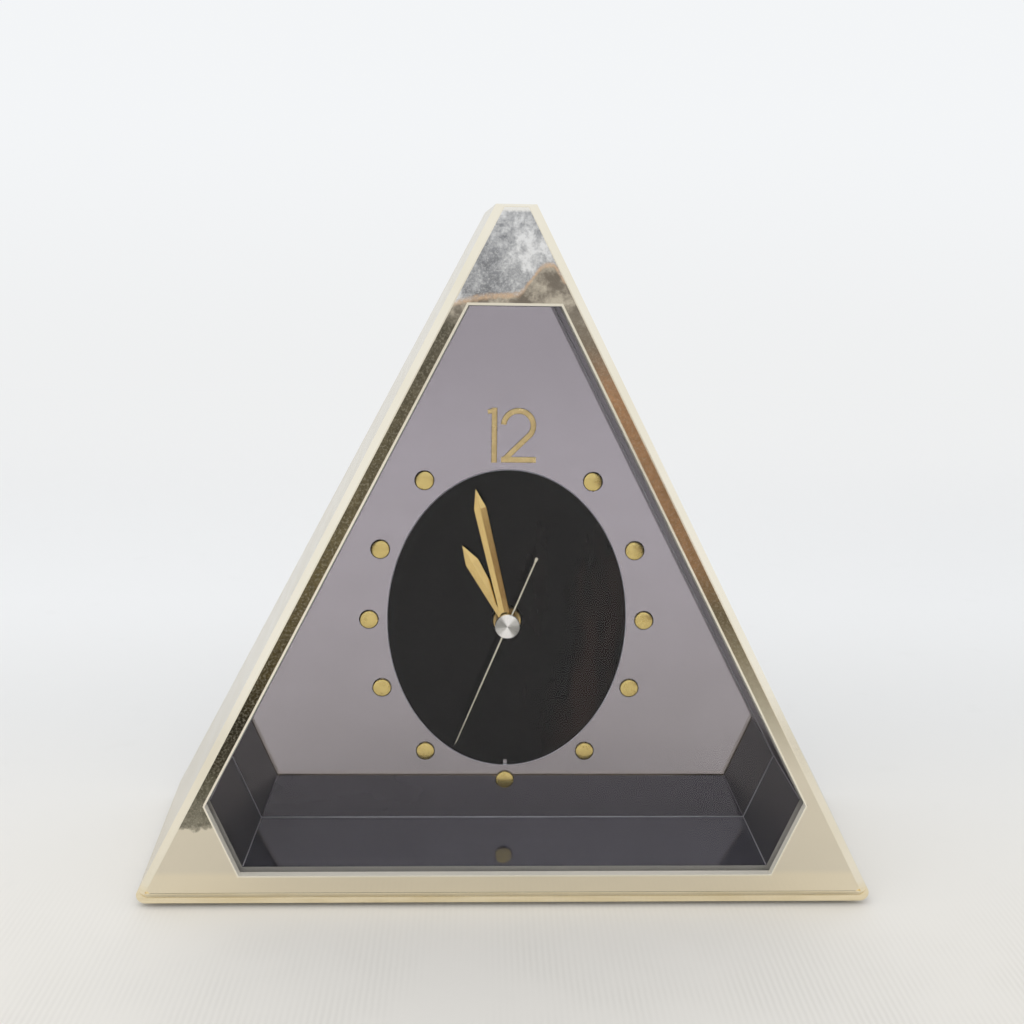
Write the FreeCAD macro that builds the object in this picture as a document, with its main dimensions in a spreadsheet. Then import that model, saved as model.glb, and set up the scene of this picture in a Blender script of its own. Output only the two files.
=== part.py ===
"""Triangular quartz table clock: a plated triangular case with a six-sided window, a deep dark tub behind
the glass, a mirror dial with applied hour studs, and a battery movement with its wheel train.

Every piece is modelled in the clock's own coordinates and then carried to the part's frame by its Placement:
x runs to the right, y runs from the plane of the face towards the back, z runs up from the face's lower edge.
"""
import FreeCAD, Part
import math
import os
import Sketcher
from FreeCAD import Rotation, Vector

# Driving dimensions in millimetres, one cell of the sheet each. Depths are measured back from the face plane.
SIZES = {
    # face and bevels of the front
    "face_half_width": 100.3,
    "face_top_half_width": 2.95,
    "face_height": 185.3,
    "land_width": 0.35,
    "bevel_side_width": 2.2,
    "bevel_bottom_width": 2.2,
    "bevel_top_width": 0.8,
    "bevel_depth": 1.2,
    "lip_height": 1.7,
    "edge_band": 0.6,
    "corner_radius": 2.4,
    "inner_corner_radius": 0.4,
    "plate_thickness": 0.5,
    "plate_gap": 0.1,
    "plate_corner_cut": 1.1,
    # six-sided window
    "window_bottom": 5.4,
    "window_bottom_half_width": 74.3,
    "window_side_height": 26.4,
    "window_side_half_width": 82.6,
    "window_top": 161.85,
    "window_top_half_width": 11.5,
    "rim_width": 0.5,
    "rim_height": 0.3,
    "reveal_depth": 2.3,
    "glass_thickness": 2.0,
    "glass_overlap": 1.6,
    "glass_gap": 0.15,
    "seat_wall": 1.4,
    "skirt_depth": 3.2,
    "skirt_wall": 1.6,
    "skirt_gap": 0.15,
    "skirt_corner_radius": 0.8,
    # case shell and back
    "shell_wall": 2.0,
    "seam_gap": 0.3,
    "seam_inset": 0.6,
    "shell_depth": 67.0,
    "rear_bottom_half_width": 110.0,
    "rear_top_half_width": 7.3,
    "cover_thickness": 2.6,
    "cover_gap": 0.3,
    "cover_boss_half_width": 3.4,
    "cover_boss_length": 14.0,
    "cover_boss_x": 97.0,
    "cover_boss_z": 3.0,
    "cover_boss_top_z": 176.0,
    "cover_recess": 2.0,
    "foot_radius": 5.0,
    "foot_height": 1.4,
    "foot_x": 90.0,
    "foot_front_depth": 12.0,
    "foot_rear_depth": 56.0,
    # access door in the back
    "door_half_width": 32.0,
    "door_below_axis": 39.0,
    "door_above_axis": 24.0,
    "door_thickness": 1.6,
    "door_gap": 0.3,
    "door_ledge": 2.0,
    "door_rib_height": 1.0,
    "door_notch_half_width": 8.0,
    "door_notch_height": 4.0,
    "door_notch_depth": 0.8,
    # tub and dial
    "tub_inset": 0.4,
    "tub_wall": 1.4,
    "flange_thickness": 3.0,
    "dial_depth": 32.0,
    "dial_thickness": 0.6,
    "dial_gap": 0.15,
    "tub_floor": 2.0,
    "dial_hole_radius": 4.6,
    "ear_thickness": 2.0,
    "ear_half_width": 3.8,
    "boss_half_width": 3.4,
    "corner_screw_x": 88.0,
    "corner_screw_z": 8.0,
    "top_screw_z": 169.5,
    "oval_half_width": 35.0,
    "oval_half_height": 45.5,
    "oval_drop": 0.6,
    "oval_thickness": 0.4,
    "oval_notch_width": 1.1,
    "oval_notch_height": 1.9,
    "hand_axis": 69.5,
    "stud_ring_half_width": 40.4,
    "stud_ring_half_height": 51.8,
    "six_stud_drop": 51.0,
    "stud_radius": 2.55,
    "stud_edge": 0.4,
    "stud_dome": 1.0,
    # applied numeral
    "numeral_bottom": 116.5,
    "numeral_height": 15.6,
    "numeral_stroke": 1.75,
    "numeral_thickness": 0.8,
    "one_left": -6.3,
    "one_stem_left": -5.15,
    "one_flag_drop": 1.3,
    "two_centre_x": 2.55,
    "two_outer_radius": 5.0,
    "two_right": 7.6,
    # screws
    "screw_radius": 1.15,
    "screw_head_radius": 2.7,
    "screw_head_height": 1.7,
    "screw_grip": 3.2,
    "pilot_gap": 0.05,
    "screw_gap": 0.3,
    # movement housing
    "movement_half_width": 28.0,
    "movement_below_axis": 36.0,
    "movement_above_axis": 20.0,
    "movement_front_wall": 1.5,
    "movement_wall": 1.3,
    "movement_depth": 14.0,
    "movement_cover_thickness": 2.0,
    "bay_wall_below_axis": 17.4,
    "bay_contact_slot": 1.5,
    "hook_half_width": 6.0,
    "hook_thickness": 1.6,
    "hook_grip": 1.0,
    "hook_tip": 1.2,
    "hook_gap": 0.05,
    "pivot_depth": 0.8,
    "bush_radius": 4.0,
    "bush_stand": 0.6,
    "press_gap": 0.01,
    "running_gap": 0.05,
    "end_shake": 0.1,
    # arbors, pipes and wheels
    "arbor_radius": 0.5,
    "cannon_radius": 1.25,
    "hour_pipe_radius": 2.0,
    "wheel_thickness": 0.7,
    "pinion_length": 1.1,
    "hour_layer": 0.3,
    "minute_layer": 1.5,
    "centre_layer": 2.9,
    "third_layer": 4.5,
    "second_layer": 6.1,
    "fifth_layer": 7.7,
    "rotor_layer": 9.1,
    "minute_wheel_distance": 7.2,
    "knob_wheel_distance": 7.2,
    "third_wheel_distance": 8.5,
    "fifth_wheel_distance": 9.0,
    "rotor_distance": 7.0,
    "minute_post_radius": 0.8,
    "magnet_radius": 3.0,
    "magnet_length": 2.2,
    "knob_shaft_radius": 1.5,
    "knob_radius": 5.5,
    "knob_rib_depth": 0.4,
    "knob_height": 3.5,
    "knob_stand": 0.5,
    # coil, stator and circuit
    "stator_thickness": 0.8,
    "stator_gap": 0.5,
    "stator_half_width": 10.0,
    "stator_leg_width": 3.0,
    "stator_above_rotor": 4.6,
    "stator_leg_height": 5.3,
    "stator_below_rotor": 5.0,
    "core_width": 2.4,
    "core_height": 0.8,
    "bobbin_half_length": 6.4,
    "bobbin_half_height": 2.9,
    "bobbin_flange": 0.8,
    "bobbin_wall": 0.5,
    "winding_gap": 0.3,
    "board_left": 3.0,
    "board_right": 25.4,
    "board_below": 1.5,
    "board_above": 17.0,
    "board_thickness": 1.0,
    "board_rib_width": 2.0,
    "board_inset": 3.0,
    "chip_half_width": 3.0,
    "chip_height": 1.0,
    "chip_inset": 1.5,
    "crystal_radius": 0.95,
    "crystal_length": 6.0,
    # battery and contacts
    "battery_radius": 7.25,
    "battery_length": 49.2,
    "battery_nub_radius": 2.75,
    "battery_nub_length": 1.3,
    "battery_gap": 0.3,
    "contact_thickness": 0.4,
    "contact_width": 6.0,
    "contact_gap": 0.1,
    "contact_bump_radius": 2.2,
    # hands, heights above the dial
    "hour_hand_lift": 2.3,
    "minute_hand_lift": 3.8,
    "second_hand_lift": 5.1,
    "cap_lift": 5.4,
    "hand_thickness": 0.4,
    "hand_hub_thickness": 0.6,
    "hand_hub_radius": 2.9,
    "blade_start": 1.9,
    "hour_hand_length": 26.7,
    "hour_base_half_width": 1.35,
    "hour_shoulder_half_width": 2.0,
    "minute_hand_length": 41.2,
    "minute_base_half_width": 1.4,
    "minute_shoulder_half_width": 1.75,
    "shoulder_from_tip": 5.7,
    "second_hand_length": 40.1,
    "second_tail_length": 22.1,
    "second_hand_half_width": 0.42,
    "second_tip_half_width": 0.3,
    "second_tail_half_width": 0.7,
    "second_tail_block": 1.4,
    "second_hand_thickness": 0.3,
    "second_hub_radius": 1.2,
    "second_hub_length": 0.7,
    "cap_radius": 3.6,
    "cap_thickness": 1.1,
    "cap_edge": 0.35,
    "overrun": 1.0,
}

# Tooth counts, and angles in degrees, counted from the right towards the top as seen from the front.
CANNON_TEETH = 10
MINUTE_WHEEL_TEETH = 30
MINUTE_PINION_TEETH = 8
HOUR_WHEEL_TEETH = 32
KNOB_PINION_TEETH = 10
SECOND_PINION_TEETH = 6
THIRD_WHEEL_TEETH = 45
THIRD_PINION_TEETH = 6
CENTRE_WHEEL_TEETH = 48
FIFTH_PINION_TEETH = 6
SECOND_WHEEL_TEETH = 30
ROTOR_PINION_TEETH = 6
FIFTH_WHEEL_TEETH = 36
KNOB_RIBS = 14
TURNED_SIDES = 16
STUD_SIDES = 12
SCREW_SIDES = 12
MINUTE_WHEEL_ANGLE = 250.0
KNOB_ANGLE = 200.0
THIRD_WHEEL_ANGLE = -20.0
FIFTH_WHEEL_ANGLE = 160.0
ROTOR_ANGLE = 150.0
HOUR_HAND_ANGLE = 119.6
MINUTE_HAND_ANGLE = 103.3
SECOND_HAND_ANGLE = 248.3
TWO_ARC_START = 165.0
TWO_ARC_END = -38.0

# Shares: the teeth's height and depth in modules, the slope of the hands' facets, and the shoulder of a stud.
ADDENDUM_SHARE = 0.75
DEDENDUM_SHARE = 1.15
FACET_SLOPE_SHARE = 0.34
STUD_SHOULDER_SHARE = 0.72

doc = FreeCAD.newDocument("TriangularTableClock")
sheet = doc.addObject("Spreadsheet::Sheet", "Sizes")
for row, (alias, length) in enumerate(SIZES.items(), start=1):
    sheet.set("A%d" % row, alias.replace("_", " "))
    sheet.set("B%d" % row, str(length))
    sheet.setAlias("B%d" % row, alias)
doc.recompute()


class Size:
    """A length that knows both its number and the expression that binds it to the sheet."""

    def __init__(self, text, number):
        self.text = text
        self.number = number

    def __add__(self, other):
        other = as_size(other)
        return Size("(%s + %s)" % (self.text, other.text), self.number + other.number)

    def __radd__(self, other):
        return as_size(other) + self

    def __sub__(self, other):
        other = as_size(other)
        return Size("(%s - %s)" % (self.text, other.text), self.number - other.number)

    def __rsub__(self, other):
        return as_size(other) - self

    def __mul__(self, other):
        other = as_size(other)
        return Size("(%s * %s)" % (self.text, other.text), self.number * other.number)

    def __rmul__(self, other):
        return as_size(other) * self

    def __truediv__(self, other):
        other = as_size(other)
        return Size("(%s / %s)" % (self.text, other.text), self.number / other.number)

    def __neg__(self):
        return Size("(0 - %s)" % self.text, -self.number)

    def __float__(self):
        return float(self.number)


def as_size(item):
    """A plain number becomes a size with no cell behind it."""
    if isinstance(item, Size):
        return item
    return Size("(%.9f)" % item if item < 0 else "%.9f" % item, item)


def root(item):
    return Size("sqrt(%s)" % item.text, math.sqrt(item.number))


class Cells:
    """Gives each cell of the sheet as a size: cells.window_top is the window's top."""

    def __getattr__(self, alias):
        return Size("Sizes.%s" % alias, float(sheet.get(alias)))


cells = Cells()
ZERO = Size("0", 0.0)


def bind(item, attribute, size):
    """Ties one property of an object to the sheet."""
    item.setExpression(attribute, as_size(size).text)


def polar(distance, angle):
    """The place at a distance and an angle, as seen from the front."""
    return distance * math.cos(math.radians(angle)), distance * math.sin(math.radians(angle))


# The depths at which the layers of the clock lie.
glass_front = cells.reveal_depth
glass_back = glass_front + cells.glass_thickness
band_back = cells.bevel_depth + cells.edge_band
ear_front = glass_back + cells.flange_thickness - cells.ear_thickness
ear_back = glass_back + cells.flange_thickness
tub_floor_front = cells.dial_depth + cells.dial_thickness
tub_floor_back = tub_floor_front + cells.tub_floor
movement_front = tub_floor_back
movement_inside = movement_front + cells.movement_front_wall
cover_inside = movement_front + cells.movement_depth
cover_outside = cover_inside + cells.movement_cover_thickness
back_outside = cells.shell_depth - cells.cover_recess
back_inside = back_outside - cells.cover_thickness
case_bottom = ZERO - cells.bevel_bottom_width - cells.lip_height
case_top = cells.face_height + cells.bevel_top_width


# Outlines, as lists of corners counted anticlockwise from the lower left as seen from the front.

def mirrored(right_side):
    """A closed outline from its right-hand corners, given from the bottom up."""
    left_side = [(ZERO - x, z) for x, z in right_side]
    return [left_side[0]] + right_side + left_side[:0:-1]


def face_outline(side, bottom, top):
    """The face's outline, moved out by a width square to its sides, below its bottom and above its top."""
    slope = (cells.face_half_width - cells.face_top_half_width) / cells.face_height
    edge = cells.face_half_width + side * root(1.0 + slope * slope)
    low = ZERO - bottom
    high = cells.face_height + top
    return mirrored([(edge - slope * low, low), (edge - slope * high, high)])


def case_outline(inset):
    """The outline of the case's front edge, moved in by a wall."""
    return face_outline(cells.bevel_side_width - inset, cells.bevel_bottom_width + cells.lip_height - inset,
                        cells.bevel_top_width - inset)


def rear_outline(inset):
    """The outline of the case's rear edge, moved in by a wall."""
    rise = case_top - case_bottom
    slope = (cells.rear_bottom_half_width - cells.rear_top_half_width) / rise
    edge = cells.rear_bottom_half_width + slope * case_bottom - inset * root(1.0 + slope * slope)
    low = case_bottom + inset
    high = case_top - inset
    return mirrored([(edge - slope * low, low), (edge - slope * high, high)])


def window_outline(offset):
    """The six-sided window, moved out by an offset."""
    long_slope = ((cells.window_side_half_width - cells.window_top_half_width)
                  / (cells.window_top - cells.window_side_height))
    short_slope = ((cells.window_side_half_width - cells.window_bottom_half_width)
                   / (cells.window_side_height - cells.window_bottom))
    long_edge = (cells.window_side_half_width + long_slope * cells.window_side_height
                 + offset * root(1.0 + long_slope * long_slope))
    short_edge = (cells.window_side_half_width - short_slope * cells.window_side_height
                  + offset * root(1.0 + short_slope * short_slope))
    low = cells.window_bottom - offset
    high = cells.window_top + offset
    side = (long_edge - short_edge) / (long_slope + short_slope)
    return mirrored([(short_edge + short_slope * low, low), (short_edge + short_slope * side, side),
                     (long_edge - long_slope * high, high)])


def rectangle(left, right, low, high):
    return [(left, low), (right, low), (right, high), (left, high)]


def square(x, z, half):
    return rectangle(x - half, x + half, z - half, z + half)


# Sketches. Each lies on the body's own upright plane and is set back by its depth.

def lock(sketch, geometry, corner, x, z):
    """Holds one point of a sketch at its place."""
    for kind, aligned, size in (("DistanceX", "Vertical", x), ("DistanceY", "Horizontal", z)):
        if float(size) == 0.0:
            sketch.addConstraint(Sketcher.Constraint(aligned, -1, 1, geometry, corner))
        else:
            number = sketch.addConstraint(Sketcher.Constraint(kind, -1, 1, geometry, corner, float(size)))
            bind(sketch, "Constraints[%d]" % number, size)


def draw_circle(sketch, x, z, radius):
    circle = Part.Circle(Vector(float(x), float(z), 0), Vector(0, 0, 1), float(radius))
    geometry = sketch.addGeometry(circle, False)
    lock(sketch, geometry, 3, x, z)
    number = sketch.addConstraint(Sketcher.Constraint("Radius", geometry, float(radius)))
    bind(sketch, "Constraints[%d]" % number, radius)


def draw_outline(sketch, corners, rounding):
    """Straight edges through the corners; rounding maps a corner's number to its radius."""
    points = [Vector(float(x), float(z), 0) for x, z in corners]
    count = len(points)
    arrive = []
    leave = []
    arcs = {}
    for index, point in enumerate(points):
        before = (point - points[index - 1]).normalize()
        after = (points[(index + 1) % count] - point).normalize()
        if index not in rounding:
            arrive.append(point)
            leave.append(point)
            continue
        radius = float(rounding[index])
        cut = radius * math.tan(before.getAngle(after) / 2)
        arrive.append(point - before * cut)
        leave.append(point + after * cut)
        centre = arrive[index] + Vector(-before.y, before.x, 0) * radius
        start = math.atan2(arrive[index].y - centre.y, arrive[index].x - centre.x)
        end = math.atan2(leave[index].y - centre.y, leave[index].x - centre.x)
        arcs[index] = Part.ArcOfCircle(Part.Circle(centre, Vector(0, 0, 1), radius), start, end)
    edges = []
    for index in range(count):
        line = Part.LineSegment(leave[index], arrive[(index + 1) % count])
        edges.append(sketch.addGeometry(line, False))
    for index, (x, z) in enumerate(corners):
        before = edges[index - 1]
        after = edges[index]
        if index not in arcs:
            sketch.addConstraint(Sketcher.Constraint("Coincident", before, 2, after, 1))
            lock(sketch, after, 1, x, z)
            continue
        arc = sketch.addGeometry(arcs[index], False)
        corner = sketch.addGeometry(Part.Point(points[index]), True)
        lock(sketch, corner, 1, x, z)
        sketch.addConstraint(Sketcher.Constraint("PointOnObject", corner, 1, before))
        sketch.addConstraint(Sketcher.Constraint("PointOnObject", corner, 1, after))
        sketch.addConstraint(Sketcher.Constraint("Tangent", before, 2, arc, 1))
        sketch.addConstraint(Sketcher.Constraint("Tangent", arc, 2, after, 1))
        number = sketch.addConstraint(Sketcher.Constraint("Radius", arc, float(rounding[index])))
        bind(sketch, "Constraints[%d]" % number, rounding[index])


def upright_sketch(body, name, depth, loops):
    """A sketch at a depth. A loop is a circle (x, z, radius), or corners, or corners with their rounding."""
    plane = next(item for item in body.Origin.OriginFeatures if item.Role == "XZ_Plane")
    sketch = body.newObject("Sketcher::SketchObject", name)
    sketch.AttachmentSupport = [(plane, "")]
    sketch.MapMode = "FlatFace"
    bind(sketch, "AttachmentOffset.Base.z", ZERO - depth)
    for loop in loops:
        if isinstance(loop, tuple) and len(loop) == 3:
            draw_circle(sketch, *loop)
        elif isinstance(loop, tuple):
            draw_outline(sketch, *loop)
        else:
            draw_outline(sketch, loop, {})
    return sketch


def new_body(label):
    body = doc.addObject("PartDesign::Body", label)
    body.Label = label
    return body


def add_slab(body, name, loops, front, back):
    """A plate between two depths."""
    pad = body.newObject("PartDesign::Pad", name)
    pad.Profile = upright_sketch(body, name + "_outline", front, loops)
    pad.Reversed = True
    bind(pad, "Length", back - front)
    return pad


def cut_slab(body, name, loops, front, back):
    """A cut between two depths, which has to take material away."""
    before = body_volume(body)
    pocket = body.newObject("PartDesign::Pocket", name)
    pocket.Profile = upright_sketch(body, name + "_outline", front, loops)
    bind(pocket, "Length", back - front)
    if not body_volume(body) < before:
        raise RuntimeError("%s cuts nothing" % name)
    return pocket


def body_volume(body):
    doc.recompute()
    return body.Shape.Volume


def add_loft(body, name, kind, sections):
    """A ruled loft through outlines at their depths."""
    sketches = [upright_sketch(body, "%s_%d" % (name, number), depth, [loop])
                for number, (depth, loop) in enumerate(sections)]
    loft = body.newObject(kind, name)
    loft.Profile = sketches[0]
    loft.Sections = sketches[1:]
    loft.Ruled = True
    return loft


# Primitives bound to the sheet.

def block(name, x_range, y_range, z_range):
    box = doc.addObject("Part::Box", name)
    for side, axis, (low, high) in (("Length", "x", x_range), ("Width", "y", y_range),
                                    ("Height", "z", z_range)):
        bind(box, side, as_size(high) - low)
        bind(box, "Placement.Base." + axis, low)
    return box


def rod(name, radius, front, back, x=ZERO, z=ZERO):
    """A cylinder that runs back from one depth to another."""
    cylinder = doc.addObject("Part::Cylinder", name)
    cylinder.Placement.Rotation = Rotation(Vector(1, 0, 0), -90)
    bind(cylinder, "Radius", radius)
    bind(cylinder, "Height", as_size(back) - front)
    bind(cylinder, "Placement.Base.x", x)
    bind(cylinder, "Placement.Base.y", front)
    bind(cylinder, "Placement.Base.z", z)
    return cylinder


def side_rod(name, radius, left, right, y, z):
    """A cylinder that runs from left to right."""
    cylinder = doc.addObject("Part::Cylinder", name)
    cylinder.Placement.Rotation = Rotation(Vector(0, 1, 0), 90)
    bind(cylinder, "Radius", radius)
    bind(cylinder, "Height", as_size(right) - left)
    bind(cylinder, "Placement.Base.x", left)
    bind(cylinder, "Placement.Base.y", y)
    bind(cylinder, "Placement.Base.z", z)
    return cylinder


def fuse(name, shapes):
    joined = doc.addObject("Part::MultiFuse", name)
    joined.Shapes = shapes
    return joined


def cut(name, base, tools):
    difference = doc.addObject("Part::Cut", name)
    difference.Base = base
    difference.Tool = tools[0] if len(tools) == 1 else fuse(name + "_cuts", tools)
    return difference


def group(name, shapes):
    """Identical pieces that share one node as separate solids."""
    compound = doc.addObject("Part::Compound", name)
    compound.Links = shapes
    return compound


def solid_feature(name, shape):
    feature = doc.addObject("Part::Feature", name)
    feature.Shape = shape
    return feature


def solid_of(faces):
    """A solid from the corners of its flat faces."""
    solid = Part.Solid(Part.Shell([Part.Face(Part.makePolygon(points + points[:1])) for points in faces]))
    if solid.Volume < 0:
        solid.reverse()
    return solid


def ring_point(centre, radius, angle, depth):
    x, z = polar(radius, angle)
    return Vector(centre.x + x, depth, centre.z + z)


def many_sided(centre, radius, depth, sides):
    return [ring_point(centre, radius, 360.0 * number / sides, depth) for number in range(sides)]


def prism(corners, thickness):
    return Part.Face(Part.makePolygon(corners + corners[:1])).extrude(Vector(0, thickness, 0))


pieces = []


def keep(item, label):
    """Names a finished piece and carries it to the part's frame: centred in depth, standing on its feet."""
    item.Label = label
    bind(item, "Placement.Base.y", ZERO - (cells.shell_depth - cells.rim_height) / 2.0)
    bind(item, "Placement.Base.z", cells.foot_height - case_bottom)
    pieces.append(item)


# The front: a plated frame with bevelled edges, an inlaid face plate and the glass.

def front_bezel():
    body = new_body("front_bezel")
    rounded = {0: cells.corner_radius, 1: cells.corner_radius}
    start = {0: cells.inner_corner_radius, 1: cells.inner_corner_radius}
    land = cells.land_width
    add_slab(body, "band", [(case_outline(ZERO), rounded)], cells.bevel_depth, band_back)
    bevel_edge = face_outline(cells.bevel_side_width, cells.bevel_bottom_width, cells.bevel_top_width)
    add_loft(body, "bevel", "PartDesign::AdditiveLoft", [
        (cells.bevel_depth, (bevel_edge, rounded)), (ZERO, (face_outline(land, land, land), start))])
    skirt = cells.shell_wall + cells.skirt_gap
    skirt_back = band_back + cells.skirt_depth
    skirt_round = {0: cells.skirt_corner_radius, 1: cells.skirt_corner_radius}
    add_slab(body, "skirt", [(case_outline(skirt), skirt_round), case_outline(skirt + cells.skirt_wall)],
             band_back, skirt_back)
    seat = cells.glass_overlap + cells.glass_gap
    add_slab(body, "window_wall", [window_outline(seat + cells.seat_wall), window_outline(cells.rim_width)],
             band_back, skirt_back)
    for name, x, z in screw_places():
        add_slab(body, "boss_" + name, [square(x, z, cells.boss_half_width)], band_back, ear_front)
    gap = cells.plate_gap
    cut_slab(body, "plate_recess", [face_outline(gap, gap, gap)], ZERO, cells.plate_thickness)
    cut_slab(body, "window", [window_outline(ZERO)], ZERO - cells.overrun, skirt_back + cells.overrun)
    cut_slab(body, "glass_seat", [window_outline(seat)], glass_front, ear_front + cells.overrun)
    for name, x, z in screw_places():
        cut_slab(body, "pilot_" + name, [(x, z, cells.screw_radius + cells.pilot_gap)],
                 ear_front - cells.screw_grip, ear_front + cells.overrun)
    add_slab(body, "rim", [window_outline(cells.rim_width), window_outline(ZERO)],
             ZERO - cells.rim_height, cells.plate_thickness)
    keep(body, "front_bezel")


def screw_places():
    """The three screws that clamp the tub to the bezel: two lower corners and the apex."""
    return [("left", ZERO - cells.corner_screw_x, cells.corner_screw_z),
            ("right", cells.corner_screw_x, cells.corner_screw_z),
            ("top", ZERO, cells.top_screw_z)]


def face_plate():
    """The polished plate let into the bezel; its lower corners are clipped."""
    body = new_body("face_plate")
    opening = window_outline(cells.rim_width + cells.plate_gap)
    clip = cells.plate_corner_cut
    left, right, high_right, high_left = face_outline(ZERO, ZERO, ZERO)
    slope = (right[0] - high_right[0]) / cells.face_height
    corners = [(left[0] + clip, ZERO), (right[0] - clip, ZERO), (right[0] - slope * clip, clip),
               high_right, high_left, (left[0] + slope * clip, clip)]
    add_slab(body, "plate", [corners, opening], ZERO, cells.plate_thickness)
    keep(body, "face_plate")


def window_glass():
    body = new_body("window_glass")
    add_slab(body, "pane", [window_outline(cells.glass_overlap)], glass_front, glass_back)
    keep(body, "window_glass")


# The tub behind the glass, and the dial on its floor.

def dial_tub():
    body = new_body("dial_tub")
    inside = ZERO - cells.tub_inset
    outside = inside + cells.tub_wall
    add_slab(body, "flange", [window_outline(cells.glass_overlap), window_outline(inside)],
             glass_back, ear_back)
    add_slab(body, "walls", [window_outline(outside), window_outline(inside)], glass_back, tub_floor_back)
    add_slab(body, "floor", [window_outline(outside), (ZERO, cells.hand_axis, cells.dial_hole_radius)],
             tub_floor_front, tub_floor_back)
    half = cells.ear_half_width
    corner_x = cells.corner_screw_x
    corner_z = cells.corner_screw_z
    side = [(cells.window_bottom_half_width, cells.window_bottom), (corner_x + half, corner_z - half),
            (corner_x + half, corner_z + half),
            ((cells.window_bottom_half_width + cells.window_side_half_width) / 2.0,
             (cells.window_bottom + cells.window_side_height) / 2.0)]
    ears = [[(ZERO - x, z) for x, z in reversed(side)], side,
            rectangle(ZERO - half, half, cells.window_top, cells.top_screw_z + half)]
    for (name, x, z), ear in zip(screw_places(), ears):
        add_slab(body, "ear_" + name, [ear], ear_front, ear_back)
        cut_slab(body, "ear_hole_" + name, [(x, z, cells.screw_radius + cells.screw_gap)],
                 ear_front - cells.overrun, ear_back + cells.overrun)
    near = cells.movement_half_width + cells.hook_gap
    far = near + cells.hook_thickness
    low = cells.hand_axis - cells.hook_half_width
    high = cells.hand_axis + cells.hook_half_width
    tip_front = cover_outside + cells.hook_gap
    tip_back = tip_front + cells.hook_tip
    for name, arm, tip in (("left", (ZERO - far, ZERO - near), (ZERO - far, cells.hook_grip - near)),
                           ("right", (near, far), (near - cells.hook_grip, far))):
        add_slab(body, "hook_" + name, [rectangle(*arm, low, high)], tub_floor_back, tip_back)
        add_slab(body, "hook_tip_" + name, [rectangle(*tip, low, high)], tip_front, tip_back)
    keep(body, "dial_tub")


def dial_plate():
    body = new_body("dial_plate")
    edge = window_outline(ZERO - cells.tub_inset - cells.dial_gap)
    add_slab(body, "mirror", [edge, (ZERO, cells.hand_axis, cells.dial_hole_radius)],
             cells.dial_depth, tub_floor_front)
    keep(body, "dial_plate")


def dial_oval():
    """The applied oval round the hands, notched at six."""
    oval = doc.addObject("Part::Ellipse", "oval_edge")
    oval.Placement.Rotation = Rotation(Vector(1, 0, 0), -90) * Rotation(Vector(0, 0, 1), 90)
    bind(oval, "MajorRadius", cells.oval_half_height)
    bind(oval, "MinorRadius", cells.oval_half_width)
    centre = cells.hand_axis - cells.oval_drop
    front = cells.dial_depth - cells.oval_thickness
    bind(oval, "Placement.Base.y", front)
    bind(oval, "Placement.Base.z", centre)
    plate = doc.addObject("Part::Extrusion", "oval_plate")
    plate.Base = oval
    plate.DirMode = "Custom"
    plate.Dir = Vector(0, 1, 0)
    plate.Solid = True
    bind(plate, "LengthFwd", cells.oval_thickness)
    low = centre - cells.oval_half_height
    half = cells.oval_notch_width / 2.0
    before = front - cells.overrun
    behind = cells.dial_depth + cells.overrun
    notch = block("oval_notch", (ZERO - half, half), (before, behind),
                  (low - cells.overrun, low + cells.oval_notch_height))
    hole = rod("oval_hole", cells.dial_hole_radius, before, behind, ZERO, cells.hand_axis)
    keep(cut("dial_oval", plate, [notch, hole]), "dial_oval")


def hour_studs():
    """Eleven domed studs where the hour rays cross an upright ellipse, each of a few flat sides."""
    radius = float(cells.stud_radius)
    edge = float(cells.stud_edge)
    crown = edge + float(cells.stud_dome)
    shoulder = radius * STUD_SHOULDER_SHARE
    middle = Vector(0, 0, 0)
    rings = [many_sided(middle, size, -height, STUD_SIDES)
             for size, height in ((radius, 0.0), (radius, edge), (shoulder, (edge + crown) / 2))]
    top = Vector(0, -crown, 0)
    faces = [rings[0]]
    for near, far in zip(rings, rings[1:]):
        faces += [[near[i - 1], near[i], far[i], far[i - 1]] for i in range(STUD_SIDES)]
    faces += [[rings[2][i - 1], rings[2][i], top] for i in range(STUD_SIDES)]
    stud = solid_of(faces)
    across = float(cells.stud_ring_half_width)
    upright = float(cells.stud_ring_half_height)
    studs = []
    for hour in range(1, 12):
        turn = math.radians(30 * hour)
        reach = 1 / math.hypot(math.sin(turn) / across, math.cos(turn) / upright)
        if hour == 6:
            reach = float(cells.six_stud_drop)
        place = Vector(reach * math.sin(turn), float(cells.dial_depth),
                       float(cells.hand_axis) + reach * math.cos(turn))
        studs.append(stud.translated(place))
    keep(solid_feature("hour_studs", Part.makeCompound(studs)), "hour_studs")


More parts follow.
